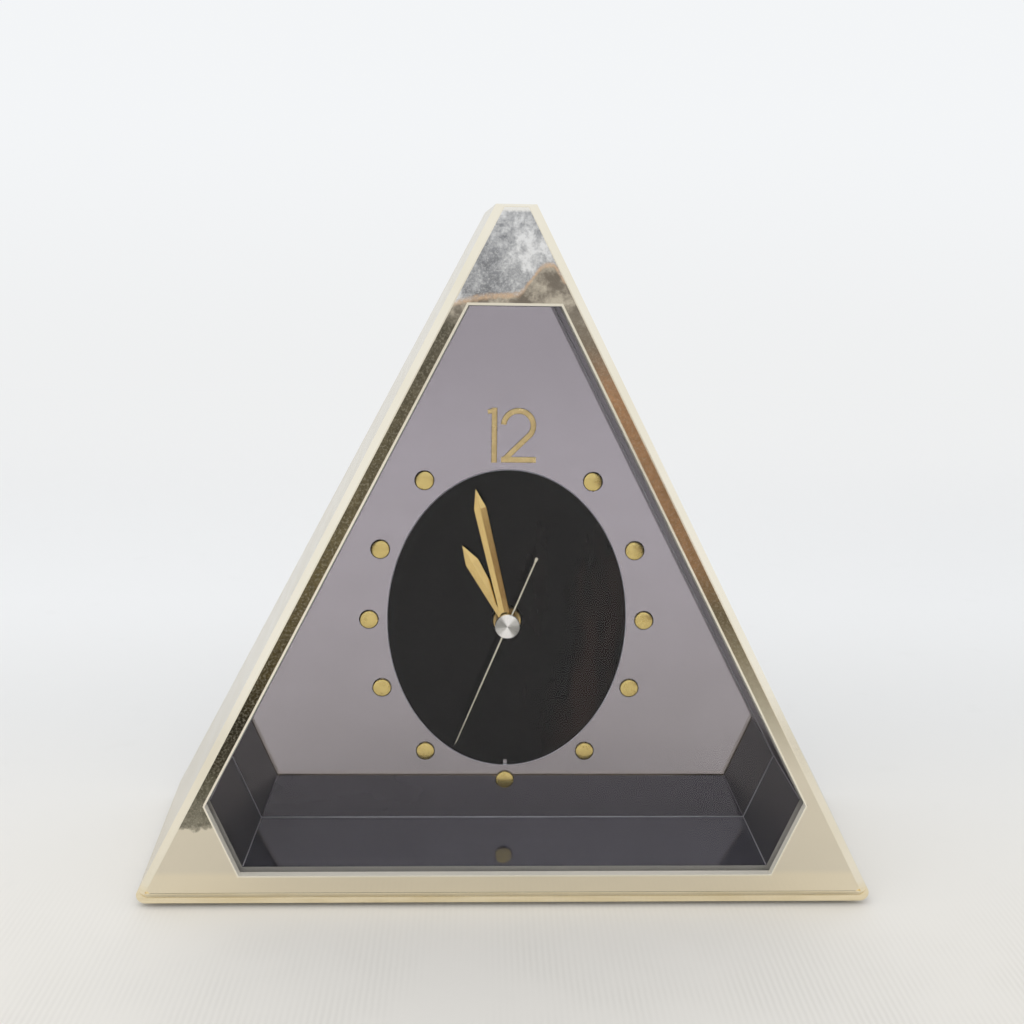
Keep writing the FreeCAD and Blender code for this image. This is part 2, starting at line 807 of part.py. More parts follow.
def numeral():
    """The applied figures of the twelve: a flagged one, and a two of an arc, a slant and a foot."""
    stroke = float(cells.numeral_stroke)
    low = float(cells.numeral_bottom)
    high = low + float(cells.numeral_height)
    depth = float(cells.dial_depth)
    thickness = -float(cells.numeral_thickness)

    def plate(points):
        return prism([Vector(x, depth, z) for x, z in points], thickness)

    left = float(cells.one_left)
    stem = float(cells.one_stem_left)
    flag = high - stroke + float(cells.one_flag_drop) / 2
    one = plate([(stem, low), (stem + stroke, low), (stem + stroke, high), (left, high), (left, flag),
                 (stem, flag)])
    keep(solid_feature("numeral_one", one), "numeral_one")

    outer = float(cells.two_outer_radius)
    middle = outer - stroke / 2
    centre = Vector(float(cells.two_centre_x), depth, high - outer)
    start = math.radians(TWO_ARC_START)
    end = math.radians(TWO_ARC_END)

    def on_circle(radius, turn):
        return centre + Vector(radius * math.cos(turn), 0, radius * math.sin(turn))

    half_way = (start + end) / 2
    inner = outer - stroke
    bow = Part.Face(Part.Wire([
        Part.Arc(on_circle(outer, start), on_circle(outer, half_way), on_circle(outer, end)).toShape(),
        Part.makeLine(on_circle(outer, end), on_circle(inner, end)),
        Part.Arc(on_circle(inner, end), on_circle(inner, half_way), on_circle(inner, start)).toShape(),
        Part.makeLine(on_circle(inner, start), on_circle(outer, start))])).extrude(Vector(0, thickness, 0))
    foot_left = centre.x - outer
    foot = plate([(foot_left, low), (float(cells.two_right), low), (float(cells.two_right), low + stroke),
                  (foot_left, low + stroke)])
    knee = on_circle(middle, end)
    toe = Vector(foot_left + stroke / 2, depth, low + stroke / 2)
    along = (toe - knee).normalize()
    across = Vector(-along.z, 0, along.x) * (stroke / 2)
    slant = plate([((knee + across).x, (knee + across).z), ((toe + across).x, (toe + across).z),
                   ((toe - across).x, (toe - across).z), ((knee - across).x, (knee - across).z)])
    two = bow.multiFuse([foot, slant]).removeSplitter()
    keep(solid_feature("numeral_two", two), "numeral_two")


# The case behind the front.

def back_screw_places():
    return [("left", ZERO - cells.cover_boss_x, cells.cover_boss_z),
            ("right", cells.cover_boss_x, cells.cover_boss_z),
            ("top", ZERO, cells.cover_boss_top_z)]


def case_shell():
    """The drafted side shell, with a seat towards the bezel and three ribbed bosses for the back cover."""
    body = new_body("case_shell")
    front = band_back + cells.seam_gap
    rounded = {0: cells.corner_radius, 1: cells.corner_radius}
    sharp = {0: cells.inner_corner_radius, 1: cells.inner_corner_radius}
    wall = cells.shell_wall
    add_loft(body, "outside", "PartDesign::AdditiveLoft", [
        (front, (case_outline(ZERO), rounded)), (cells.shell_depth, (rear_outline(ZERO), rounded))])
    seat_round = cells.corner_radius - cells.seam_inset
    add_slab(body, "seat", [(case_outline(cells.seam_inset), {0: seat_round, 1: seat_round})],
             band_back, front)
    add_loft(body, "inside", "PartDesign::SubtractiveLoft", [
        (front, (case_outline(wall), sharp)), (cells.shell_depth, (rear_outline(wall), sharp))])
    cut_slab(body, "seat_hole", [case_outline(wall)], band_back - cells.overrun, front)
    boss_front = back_inside - cells.cover_boss_length
    half = cells.cover_boss_half_width
    for name, x, z in back_screw_places():
        low, high = z - half, z + half
        if name == "top":
            high = case_top - wall / 2.0
        else:
            low = case_bottom + wall / 2.0
        add_slab(body, "cover_boss_" + name, [rectangle(x - half, x + half, low, high)],
                 boss_front, back_inside)
        cut_slab(body, "cover_pilot_" + name, [(x, z, cells.screw_radius + cells.pilot_gap)],
                 back_inside - cells.screw_grip * 2.0, back_inside + cells.overrun)
    keep(body, "case_shell")


def door_opening(inset):
    half = cells.door_half_width - inset
    return rectangle(ZERO - half, half, cells.hand_axis - cells.door_below_axis + inset,
                     cells.hand_axis + cells.door_above_axis - inset)


def back_cover():
    """The cover, let a little into the shell so that the heads of its screws stay inside the rim."""
    body = new_body("back_cover")
    inset = cells.shell_wall + cells.cover_gap * 2.0
    add_slab(body, "plate", [rear_outline(inset)], back_inside, back_outside)
    cut_slab(body, "door_recess", [door_opening(ZERO)], back_outside - cells.door_thickness,
             back_outside + cells.overrun)
    cut_slab(body, "door_way", [door_opening(cells.door_ledge)], back_inside - cells.overrun,
             back_outside + cells.overrun)
    for name, x, z in back_screw_places():
        cut_slab(body, "screw_hole_" + name, [(x, z, cells.screw_radius + cells.screw_gap)],
                 back_inside - cells.overrun, back_outside + cells.overrun)
    keep(body, "back_cover")


def access_door():
    """The lift-off door over the movement, with a finger notch and a frame of ribs inside its opening."""
    body = new_body("access_door")
    front = back_outside - cells.door_thickness
    add_slab(body, "panel", [door_opening(cells.door_gap)], front, back_outside)
    inside = cells.door_ledge + cells.door_gap
    add_slab(body, "rib_frame", [door_opening(inside), door_opening(inside + cells.door_thickness)],
             front - cells.door_rib_height, front)
    high = cells.hand_axis + cells.door_above_axis
    notch = rectangle(ZERO - cells.door_notch_half_width, cells.door_notch_half_width,
                      high - cells.door_notch_height, high + cells.overrun)
    cut_slab(body, "finger_notch", [notch], back_outside - cells.door_notch_depth,
             back_outside + cells.overrun)
    keep(body, "access_door")


def rubber_feet():
    feet = []
    top = case_bottom
    for row, depth in (("front", cells.foot_front_depth), ("rear", cells.foot_rear_depth)):
        for side, x in (("left", ZERO - cells.foot_x), ("right", cells.foot_x)):
            foot = doc.addObject("Part::Prism", "foot_%s_%s" % (row, side))
            foot.Polygon = SCREW_SIDES
            bind(foot, "Circumradius", cells.foot_radius)
            bind(foot, "Height", cells.foot_height)
            bind(foot, "Placement.Base.x", x)
            bind(foot, "Placement.Base.y", depth)
            bind(foot, "Placement.Base.z", top - cells.foot_height)
            feet.append(foot)
    keep(group("rubber_feet", feet), "rubber_feet")


def screw(name, x, z, tip, seat):
    """A screw whose shank runs forward from under its head."""
    sections = []
    head_back = seat + cells.screw_head_height
    for part, radius, front, back in (("_shank", cells.screw_radius, tip, seat),
                                      ("_head", cells.screw_head_radius, seat, head_back)):
        section = doc.addObject("Part::Prism", name + part)
        section.Polygon = SCREW_SIDES
        section.Placement.Rotation = Rotation(Vector(1, 0, 0), -90)
        bind(section, "Circumradius", radius)
        bind(section, "Height", back - front)
        bind(section, "Placement.Base.x", x)
        bind(section, "Placement.Base.y", front)
        bind(section, "Placement.Base.z", z)
        sections.append(section)
    return fuse(name, sections)


def screws():
    clamp_tip = ear_back - cells.screw_grip * 1.5
    clamp = [screw("bezel_screw_" + name, x, z, clamp_tip, ear_back) for name, x, z in screw_places()]
    keep(group("bezel_screws", clamp), "bezel_screws")
    rear = [screw("back_screw_" + name, x, z, back_inside - cells.screw_grip, back_outside)
            for name, x, z in back_screw_places()]
    keep(group("back_cover_screws", rear), "back_cover_screws")


# The places of the movement's axes, as seen from the front.

def wheel_places():
    """Each axis of the train and the motion work, worked out along the meshes from the hand axis."""
    places = {"centre": (ZERO, cells.hand_axis)}

    def place(name, start, distance, angle):
        x, z = places[start]
        shift_x, shift_z = polar(distance, angle)
        places[name] = (x + shift_x, z + shift_z)

    place("minute", "centre", cells.minute_wheel_distance, MINUTE_WHEEL_ANGLE)
    place("knob", "minute", cells.knob_wheel_distance, KNOB_ANGLE)
    place("third", "centre", cells.third_wheel_distance, THIRD_WHEEL_ANGLE)
    place("fifth", "centre", cells.fifth_wheel_distance, FIFTH_WHEEL_ANGLE)
    place("rotor", "fifth", cells.rotor_distance, ROTOR_ANGLE)
    return places


places = wheel_places()


def movement_outline(inset):
    half = cells.movement_half_width - inset
    return rectangle(ZERO - half, half, cells.hand_axis - cells.movement_below_axis + inset,
                     cells.hand_axis + cells.movement_above_axis - inset)


def movement_base():
    """The front half of the movement's housing: a tray with a battery bay below a partition."""
    body = new_body("movement_base")
    wall = cells.movement_wall
    half = cells.movement_half_width
    partition_top = cells.hand_axis - cells.bay_wall_below_axis
    slot = cells.bay_contact_slot
    add_slab(body, "front_wall", [movement_outline(ZERO)], movement_front, movement_inside)
    add_slab(body, "side_walls", [movement_outline(ZERO), movement_outline(wall)],
             movement_inside, cover_inside)
    add_slab(body, "partition", [rectangle(ZERO - half + wall + slot, half - wall - slot,
                                           partition_top - wall, partition_top)],
             movement_inside, cover_inside - wall)
    add_slab(body, "minute_post", [(*places["minute"], cells.minute_post_radius)],
             movement_inside, movement_inside + cells.minute_layer + cells.pinion_length)
    rib_right = cells.board_right - cells.board_inset
    add_slab(body, "board_rib", [rectangle(rib_right - cells.board_rib_width, rib_right,
                                           cells.hand_axis + cells.board_below + cells.board_inset,
                                           cells.hand_axis + cells.board_above - cells.board_inset)],
             movement_inside, board_front())
    cut_slab(body, "bush_hole", [(ZERO, cells.hand_axis, cells.bush_radius + cells.press_gap)],
             movement_front - cells.overrun, movement_inside + cells.overrun)
    for name in ("third", "fifth", "rotor", "knob"):
        cut_slab(body, "pivot_" + name, [(*places[name], cells.arbor_radius + cells.running_gap)],
                 movement_inside - cells.pivot_depth, movement_inside + cells.overrun)
    keep(body, "movement_base")


def movement_cover():
    """The rear half of the housing over the train, with a bearing for each arbor."""
    body = new_body("movement_cover")
    half = cells.movement_half_width
    low = cells.hand_axis - cells.bay_wall_below_axis - cells.movement_wall
    high = cells.hand_axis + cells.movement_above_axis
    add_slab(body, "plate", [rectangle(ZERO - half, half, low, high)], cover_inside, cover_outside)
    for name in ("third", "fifth", "centre", "rotor"):
        cut_slab(body, "bearing_" + name, [(*places[name], cells.arbor_radius + cells.running_gap)],
                 cover_inside - cells.overrun, cover_inside + cells.pivot_depth)
    cut_slab(body, "knob_hole", [(*places["knob"], cells.knob_shaft_radius + cells.running_gap)],
             cover_inside - cells.overrun, cover_outside + cells.overrun)
    keep(body, "movement_cover")


def centre_bush():
    """The bush that carries the hands' pipes through the dial."""
    front = cells.dial_depth - cells.oval_thickness - cells.bush_stand
    barrel = rod("bush_barrel", cells.bush_radius, front, movement_inside, ZERO, cells.hand_axis)
    bore = rod("bush_bore", cells.hour_pipe_radius + cells.running_gap, front - cells.overrun,
               movement_inside + cells.overrun, ZERO, cells.hand_axis)
    keep(cut("centre_bush", barrel, [bore]), "centre_bush")


# Toothed wheels. A tooth is a plain point, thinner than half its pitch where it meshes, which gives play.
# Arbors and pipes are drawn with a few flat sides, which lie inside an arbor's radius and outside a bore's.

def toothed_disc(centre, teeth, module, phase, front, thickness):
    """A toothed disc whose tooth centres lie at the phase, in degrees."""
    tip = module * (teeth / 2 + ADDENDUM_SHARE)
    low = module * (teeth / 2 - DEDENDUM_SHARE)
    corners = []
    for step in range(2 * teeth):
        radius = low if step % 2 else tip
        corners.append(ring_point(centre, radius, phase + 180.0 * step / teeth, front))
    return prism(corners, thickness)


def meshed_phase(phase, teeth, angle, other_teeth):
    """The phase that puts another wheel's gap on this wheel's tooth, along the line between their centres."""
    pitch = 360.0 / teeth
    share = ((angle - phase) / pitch) % 1.0
    return angle + 180.0 + (share + 0.5) * 360.0 / other_teeth


def axis_rod(centre, radius, front, back):
    corners = many_sided(centre, float(radius), float(front), TURNED_SIDES)
    return prism(corners, float(back) - float(front))


def axis_bore(centre, radius, front, back):
    return axis_rod(centre, float(radius) / math.cos(math.pi / TURNED_SIDES), front, back)


def axis_point(name):
    x, z = places[name]
    return Vector(float(x), 0, float(z))


def layer(cell):
    """The depth of a layer's front, measured from the inside of the housing's front wall."""
    return float(movement_inside + cell)


MODULES = {
    "cannon": 2 * float(cells.minute_wheel_distance) / (CANNON_TEETH + MINUTE_WHEEL_TEETH),
    "hour": 2 * float(cells.minute_wheel_distance) / (MINUTE_PINION_TEETH + HOUR_WHEEL_TEETH),
    "second": 2 * float(cells.third_wheel_distance) / (SECOND_PINION_TEETH + THIRD_WHEEL_TEETH),
    "centre": 2 * float(cells.third_wheel_distance) / (THIRD_PINION_TEETH + CENTRE_WHEEL_TEETH),
    "fifth": 2 * float(cells.fifth_wheel_distance) / (FIFTH_PINION_TEETH + SECOND_WHEEL_TEETH),
    "rotor": 2 * float(cells.rotor_distance) / (ROTOR_PINION_TEETH + FIFTH_WHEEL_TEETH),
}


def motion_work():
    """Cannon pinion, minute wheel, hour wheel and setting knob, which carry one turn to a twelfth."""
    centre = axis_point("centre")
    minute = axis_point("minute")
    knob = axis_point("knob")
    thick = float(cells.wheel_thickness)
    leaf = float(cells.pinion_length)
    play = (leaf - thick) / 2
    minute_front = layer(cells.minute_layer)
    hour_front = layer(cells.hour_layer)

    cannon_phase = 0.0
    minute_phase = meshed_phase(cannon_phase, CANNON_TEETH, MINUTE_WHEEL_ANGLE, MINUTE_WHEEL_TEETH)
    hour_phase = meshed_phase(minute_phase, MINUTE_PINION_TEETH, MINUTE_WHEEL_ANGLE + 180.0, HOUR_WHEEL_TEETH)
    knob_phase = meshed_phase(minute_phase, MINUTE_WHEEL_TEETH, KNOB_ANGLE, KNOB_PINION_TEETH)

    pipe_front = float(cells.dial_depth - cells.minute_hand_lift - cells.hand_hub_thickness)
    pipe_back = layer(cells.centre_layer) + thick + play
    cannon = toothed_disc(centre, CANNON_TEETH, MODULES["cannon"], cannon_phase, minute_front - play, leaf)
    cannon = cannon.fuse(axis_rod(centre, cells.cannon_radius, pipe_front, pipe_back))
    cannon = cannon.cut(axis_bore(centre, cells.arbor_radius + cells.running_gap,
                                  pipe_front - leaf, pipe_back + leaf))
    keep(solid_feature("cannon_pinion", cannon), "cannon_pinion")

    wheel = toothed_disc(minute, MINUTE_WHEEL_TEETH, MODULES["cannon"], minute_phase, minute_front, thick)
    wheel = wheel.fuse(toothed_disc(minute, MINUTE_PINION_TEETH, MODULES["hour"], minute_phase,
                                    hour_front - play, minute_front - hour_front + play))
    wheel = wheel.cut(axis_bore(minute, cells.minute_post_radius + cells.running_gap,
                                hour_front - leaf, minute_front + thick + leaf))
    keep(solid_feature("minute_wheel", wheel), "minute_wheel")

    hour_end = float(cells.dial_depth - cells.hour_hand_lift - cells.hand_hub_thickness)
    hour = toothed_disc(centre, HOUR_WHEEL_TEETH, MODULES["hour"], hour_phase, hour_front, thick)
    hour = hour.fuse(axis_rod(centre, cells.hour_pipe_radius, hour_end, hour_front + thick))
    hour = hour.cut(axis_bore(centre, cells.cannon_radius + cells.running_gap, hour_end - leaf,
                              hour_front + thick + leaf))
    keep(solid_feature("hour_wheel", hour), "hour_wheel")

    knob_front = float(cover_outside + cells.knob_stand)
    knob_back = knob_front + float(cells.knob_height)
    setting = toothed_disc(knob, KNOB_PINION_TEETH, MODULES["cannon"], knob_phase, minute_front - play, leaf)
    shapes = [axis_rod(knob, cells.arbor_radius, movement_inside - cells.pivot_depth + cells.contact_gap,
                       minute_front),
              axis_rod(knob, cells.knob_shaft_radius, minute_front + leaf - play, knob_back),
              knob_head(knob, knob_front, knob_back)]
    keep(solid_feature("setting_knob", setting.multiFuse(shapes)), "setting_knob")


def knob_head(centre, front, back):
    """A ribbed knob: alternate corners lie a little further in."""
    outer = float(cells.knob_radius)
    inner = outer - float(cells.knob_rib_depth)
    corners = []
    for step in range(2 * KNOB_RIBS):
        corners.append(ring_point(centre, inner if step % 2 else outer, 180.0 * step / KNOB_RIBS, front))
    return prism(corners, back - front)


def going_train():
    """Rotor, fifth, second, third and centre wheels, which bring thirty turns down to a sixtieth."""
    thick = float(cells.wheel_thickness)
    leaf = float(cells.pinion_length)
    play = (leaf - thick) / 2
    front_end = float(movement_inside - cells.pivot_depth + cells.end_shake)
    back_end = float(cover_inside + cells.pivot_depth - cells.end_shake)
    rotor = axis_point("rotor")
    fifth = axis_point("fifth")
    centre = axis_point("centre")
    third = axis_point("third")

    rotor_phase = 0.0
    fifth_phase = meshed_phase(rotor_phase, ROTOR_PINION_TEETH, ROTOR_ANGLE + 180.0, FIFTH_WHEEL_TEETH)
    second_phase = meshed_phase(fifth_phase, FIFTH_PINION_TEETH, FIFTH_WHEEL_ANGLE + 180.0,
                                SECOND_WHEEL_TEETH)
    third_phase = meshed_phase(second_phase, SECOND_PINION_TEETH, THIRD_WHEEL_ANGLE, THIRD_WHEEL_TEETH)
    centre_phase = meshed_phase(third_phase, THIRD_PINION_TEETH, THIRD_WHEEL_ANGLE + 180.0,
                                CENTRE_WHEEL_TEETH)

    def wheel(point, teeth, module, phase, front):
        return toothed_disc(point, teeth, MODULES[module], phase, front, thick)

    def pinion(point, teeth, module, phase, wheel_front):
        return toothed_disc(point, teeth, MODULES[module], phase, wheel_front - play, leaf)

    fifth_front = layer(cells.fifth_layer)
    second_front = layer(cells.second_layer)
    third_front = layer(cells.third_layer)
    centre_front = layer(cells.centre_layer)
    magnet_front = layer(cells.rotor_layer)

    shape = pinion(rotor, ROTOR_PINION_TEETH, "rotor", rotor_phase, fifth_front)
    shape = shape.multiFuse([axis_rod(rotor, cells.arbor_radius, front_end, back_end),
                             axis_rod(rotor, cells.magnet_radius, magnet_front,
                                      magnet_front + float(cells.magnet_length))])
    keep(solid_feature("rotor", shape), "rotor")

    shape = wheel(fifth, FIFTH_WHEEL_TEETH, "rotor", fifth_phase, fifth_front)
    shape = shape.multiFuse([pinion(fifth, FIFTH_PINION_TEETH, "fifth", fifth_phase, second_front),
                             axis_rod(fifth, cells.arbor_radius, front_end, back_end)])
    keep(solid_feature("fifth_wheel", shape), "fifth_wheel")

    arbor_front = float(cells.dial_depth - cells.second_hand_lift - cells.second_hand_thickness)
    shape = wheel(centre, SECOND_WHEEL_TEETH, "fifth", second_phase, second_front)
    shape = shape.multiFuse([pinion(centre, SECOND_PINION_TEETH, "second", second_phase, third_front),
                             axis_rod(centre, cells.arbor_radius, arbor_front, back_end)])
    keep(solid_feature("second_wheel", shape), "second_wheel")

    shape = wheel(third, THIRD_WHEEL_TEETH, "second", third_phase, third_front)
    shape = shape.multiFuse([pinion(third, THIRD_PINION_TEETH, "centre", third_phase, centre_front),
                             axis_rod(third, cells.arbor_radius, front_end, back_end)])
    keep(solid_feature("third_wheel", shape), "third_wheel")

    shape = wheel(centre, CENTRE_WHEEL_TEETH, "centre", centre_phase, centre_front)
    shape = shape.cut(axis_bore(centre, cells.cannon_radius + cells.running_gap, centre_front - leaf,
                                centre_front + thick + leaf))
    keep(solid_feature("centre_wheel", shape), "centre_wheel")


# The motor and the circuit.

def board_front():
    return movement_inside + cells.rotor_layer


def stator_front():
    return movement_inside + cells.rotor_layer + cells.stator_thickness


def stator_and_coil():
    """A horseshoe stator round the rotor, and a core through the coil across its two legs."""
    x, z = places["rotor"]
    front = stator_front()
    back = front + cells.stator_thickness
    half = cells.stator_half_width
    leg = cells.stator_leg_width
    low = z - cells.stator_below_rotor
    yoke = z + cells.stator_above_rotor
    top = yoke + cells.stator_leg_height
    left, right = x - half, x + half
    slim = x + cells.stator_below_rotor
    hollow_radius = cells.magnet_radius + cells.stator_gap
    body = new_body("stator")
    chamfer = cells.stator_leg_width
    horseshoe = [(left + chamfer, low), (slim - chamfer / 2.0, low), (slim + chamfer / 4.0, z),
                 (right, z + chamfer / 2.0), (right, top), (right - leg, top), (right - leg, yoke),
                 (left + leg, yoke), (left + leg, top), (left, top), (left, low + chamfer)]
    add_slab(body, "horseshoe", [horseshoe], front, back)
    cut_slab(body, "rotor_hole", [(x, z, hollow_radius)], front - cells.overrun, back + cells.overrun)
    keep(body, "stator")

    core_z = top - cells.core_width / 2.0
    half_core = cells.core_width / 2.0
    core_front = front - cells.core_height
    core = block("core_strip", (left, right), (core_front, front), (core_z - half_core, core_z + half_core))
    keep(group("coil_core", [core]), "coil_core")

    middle = front - cells.core_height / 2.0
    bobbin = cells.bobbin_half_length
    flange = cells.bobbin_flange
    tall = cells.bobbin_half_height
    inner_y = cells.core_height / 2.0 + cells.press_gap
    inner_z = half_core + cells.press_gap
    outer_y = inner_y + cells.bobbin_wall
    outer_z = inner_z + cells.bobbin_wall
    tube = block("bobbin_tube", (x - bobbin, x + bobbin), (middle - outer_y, middle + outer_y),
                 (core_z - outer_z, core_z + outer_z))
    ends = [block("bobbin_end_%d" % number, (low_x, low_x + flange), (middle - tall, middle + tall),
                  (core_z - tall, core_z + tall))
            for number, low_x in enumerate((x - bobbin, x + bobbin - flange))]
    way = block("bobbin_way", (x - bobbin - cells.overrun, x + bobbin + cells.overrun),
                (middle - inner_y, middle + inner_y), (core_z - inner_z, core_z + inner_z))
    keep(cut("coil_bobbin", fuse("bobbin_blank", [tube] + ends), [way]), "coil_bobbin")

    wind = tall - cells.winding_gap
    length = bobbin - flange - cells.press_gap
    bulk = block("winding_bulk", (x - length, x + length), (middle - wind, middle + wind),
                 (core_z - wind, core_z + wind))
    clear_y = outer_y + cells.press_gap
    clear_z = outer_z + cells.press_gap
    core_way = block("winding_way", (x - length - cells.overrun, x + length + cells.overrun),
                     (middle - clear_y, middle + clear_y), (core_z - clear_z, core_z + clear_z))
    keep(cut("coil_winding", bulk, [core_way]), "coil_winding")


def circuit():
    front = board_front()
    back = front + cells.board_thickness
    low = cells.hand_axis + cells.board_below
    high = cells.hand_axis + cells.board_above
    board = block("board_plate", (cells.board_left, cells.board_right), (front, back), (low, high))
    keep(group("circuit_board", [board]), "circuit_board")
    middle_x = (cells.board_left + cells.board_right) / 2.0
    half = cells.chip_half_width
    chip = block("chip_body", (middle_x - half, middle_x + half), (back, back + cells.chip_height),
                 (low + cells.chip_inset, low + cells.chip_inset + half * 2.0))
    keep(group("quartz_chip", [chip]), "quartz_chip")
    can = side_rod("crystal_can", cells.crystal_radius, middle_x - cells.crystal_length / 2.0,
                   middle_x + cells.crystal_length / 2.0, back + cells.crystal_radius,
                   high - cells.board_inset)
    keep(group("quartz_crystal", [can]), "quartz_crystal")


# The battery and its contacts.

def battery_and_contacts():
    wall = cells.movement_wall
    right_wall = cells.movement_half_width - wall
    bay_low = cells.hand_axis - cells.movement_below_axis + wall
    bay_high = cells.hand_axis - cells.bay_wall_below_axis - wall
    z = (bay_low + bay_high) / 2.0
    y = movement_inside + cells.battery_gap + cells.battery_radius
    plate = cells.contact_thickness
    gap = cells.contact_gap
    nub_end = right_wall - plate - gap - gap
    can_right = nub_end - cells.battery_nub_length
    can_left = can_right - cells.battery_length
    can = side_rod("battery_can", cells.battery_radius, can_left, can_right, y, z)
    nub = side_rod("battery_nub", cells.battery_nub_radius, can_right, nub_end, y, z)
    keep(fuse("battery", [can, nub]), "battery")

    half = cells.contact_width / 2.0
    board_low = cells.hand_axis + cells.board_below
    board_y = board_front()
    plus_x = (right_wall - gap - plate, right_wall - gap)
    plus = [block("plus_pad", plus_x, (y - half, board_y + cells.board_thickness), (z - half, z + half)),
            block("plus_riser", plus_x, (board_y - cells.board_thickness, board_y + cells.board_thickness),
                  (z, board_low + half))]
    keep(fuse("plus_contact", plus), "plus_contact")

    left_wall = ZERO - right_wall
    minus_x = (left_wall + gap, left_wall + gap + plate)
    rail_low = cells.hand_axis - cells.bay_wall_below_axis + gap
    rail_y = (board_y - cells.board_thickness, board_y + cells.board_thickness)
    riser_right = cells.board_left + half + half
    minus = [block("minus_pad", minus_x, (y - half, board_y + cells.board_thickness), (z - half, z + half)),
             block("minus_riser", minus_x, rail_y, (z, rail_low + plate)),
             block("minus_rail", (minus_x[0], riser_right), rail_y, (rail_low, rail_low + plate)),
             block("minus_tail", (riser_right - plate, riser_right), rail_y, (rail_low, board_low - gap)),
             side_rod("minus_bump", cells.contact_bump_radius, minus_x[1], can_left - gap, y, z)]
    keep(fuse("minus_contact", minus), "minus_contact")


# The hands. Each blade has two facets that meet in a ridge along its middle.

def faceted_blade(angle, back, base, shoulder, shoulder_reach, reach):
    """A blade that widens to its shoulder and runs out to a point, lying flat at the back."""
    start = float(cells.blade_start)
    thick = float(cells.hand_thickness)
    rise = FACET_SLOPE_SHARE
    outline = [(start, base), (shoulder_reach, shoulder), (reach, 0.0)]
    flat = [Vector(x, 0, z) for x, z in outline] + [Vector(x, 0, -z) for x, z in outline[1::-1]]
    lower = [point - Vector(0, thick, 0) for point in flat]
    ridge = [Vector(x, -thick - rise * z, 0) for x, z in outline[:2]]
    rim = list(zip(flat, flat[1:] + flat[:1], lower[1:] + lower[:1], lower))
    faces = [flat]
    faces += [list(side) for side in rim]
    faces += [[lower[0], lower[1], ridge[1], ridge[0]], [lower[1], lower[2], ridge[1]],
              [lower[2], lower[3], ridge[1]], [lower[3], lower[4], ridge[0], ridge[1]],
              [lower[4], lower[0], ridge[0]]]
    blade = solid_of(faces)
    blade.rotate(Vector(0, 0, 0), Vector(0, 1, 0), -angle)
    centre = axis_point("centre")
    return blade.translated(Vector(centre.x, back, centre.z))


def pointed_hand(label, lift, pipe_radius, angle, base, shoulder, length):
    """An hour or minute hand: a hub pressed on its pipe, and a faceted blade."""
    centre = axis_point("centre")
    back = float(cells.dial_depth - lift)
    reach = float(length)
    blade = faceted_blade(angle, back, float(base), float(shoulder),
                          reach - float(cells.shoulder_from_tip), reach)
    hub = axis_rod(centre, cells.hand_hub_radius, back - float(cells.hand_hub_thickness), back)
    bore = axis_bore(centre, pipe_radius + cells.press_gap, back - reach, back + reach)
    keep(solid_feature(label, blade.fuse(hub).cut(bore)), label)


def hands():
    pointed_hand("hour_hand", cells.hour_hand_lift, cells.hour_pipe_radius, HOUR_HAND_ANGLE,
                 cells.hour_base_half_width, cells.hour_shoulder_half_width, cells.hour_hand_length)
    pointed_hand("minute_hand", cells.minute_hand_lift, cells.cannon_radius, MINUTE_HAND_ANGLE,
                 cells.minute_base_half_width, cells.minute_shoulder_half_width, cells.minute_hand_length)
    second_hand()
    second_cap()


def second_hand():
    """A thin tapered needle with a short block at the end of its tail."""
    centre = axis_point("centre")
    back = float(cells.dial_depth - cells.second_hand_lift)
    thick = float(cells.second_hand_thickness)
    reach = float(cells.second_hand_length)
    tail = -float(cells.second_tail_length)
    block_start = tail + float(cells.second_tail_block)
    half = float(cells.second_hand_half_width)
    tip = float(cells.second_tip_half_width)
    wide = float(cells.second_tail_half_width)
    right = [(tail, wide), (block_start, wide), (block_start, half), (0.0, half), (reach, tip)]
    corners = [Vector(x, 0, z) for x, z in right] + [Vector(x, 0, -z) for x, z in reversed(right)]
    needle = prism(corners, -thick)
    needle.rotate(Vector(0, 0, 0), Vector(0, 1, 0), -SECOND_HAND_ANGLE)
    needle.translate(Vector(centre.x, back, centre.z))
    hub_back = back - thick + float(cells.second_hub_length)
    hub = axis_rod(centre, cells.second_hub_radius, back - thick, hub_back)
    bore = axis_bore(centre, cells.arbor_radius + cells.press_gap, back - reach, back + reach)
    keep(solid_feature("second_hand", needle.fuse(hub).cut(bore)), "second_hand")


def second_cap():
    """The round cap over the second hand's hub, a little narrower at its face."""
    front = cells.dial_depth - cells.cap_lift - cells.cap_thickness
    cap = doc.addObject("Part::Cone", "cap_cone")
    cap.Placement.Rotation = Rotation(Vector(1, 0, 0), -90)
    bind(cap, "Radius1", cells.cap_radius - cells.cap_edge)
    bind(cap, "Radius2", cells.cap_radius)
    bind(cap, "Height", cells.cap_thickness)
    bind(cap, "Placement.Base.y", front)
    bind(cap, "Placement.Base.z", cells.hand_axis)
    keep(group("second_cap", [cap]), "second_cap")


def check_pieces():
    """Stops if any object failed, or if a piece has no valid shape of positive volume."""
    for item in doc.Objects:
        if "Invalid" in item.State or "Error" in item.State:
            raise RuntimeError("%s failed: %s" % (item.Name, item.State))
    for item in pieces:
        shape = item.Shape
        if shape.isNull() or not shape.isValid() or shape.Volume <= 0:
            raise RuntimeError("%s has no valid shape" % item.Label)


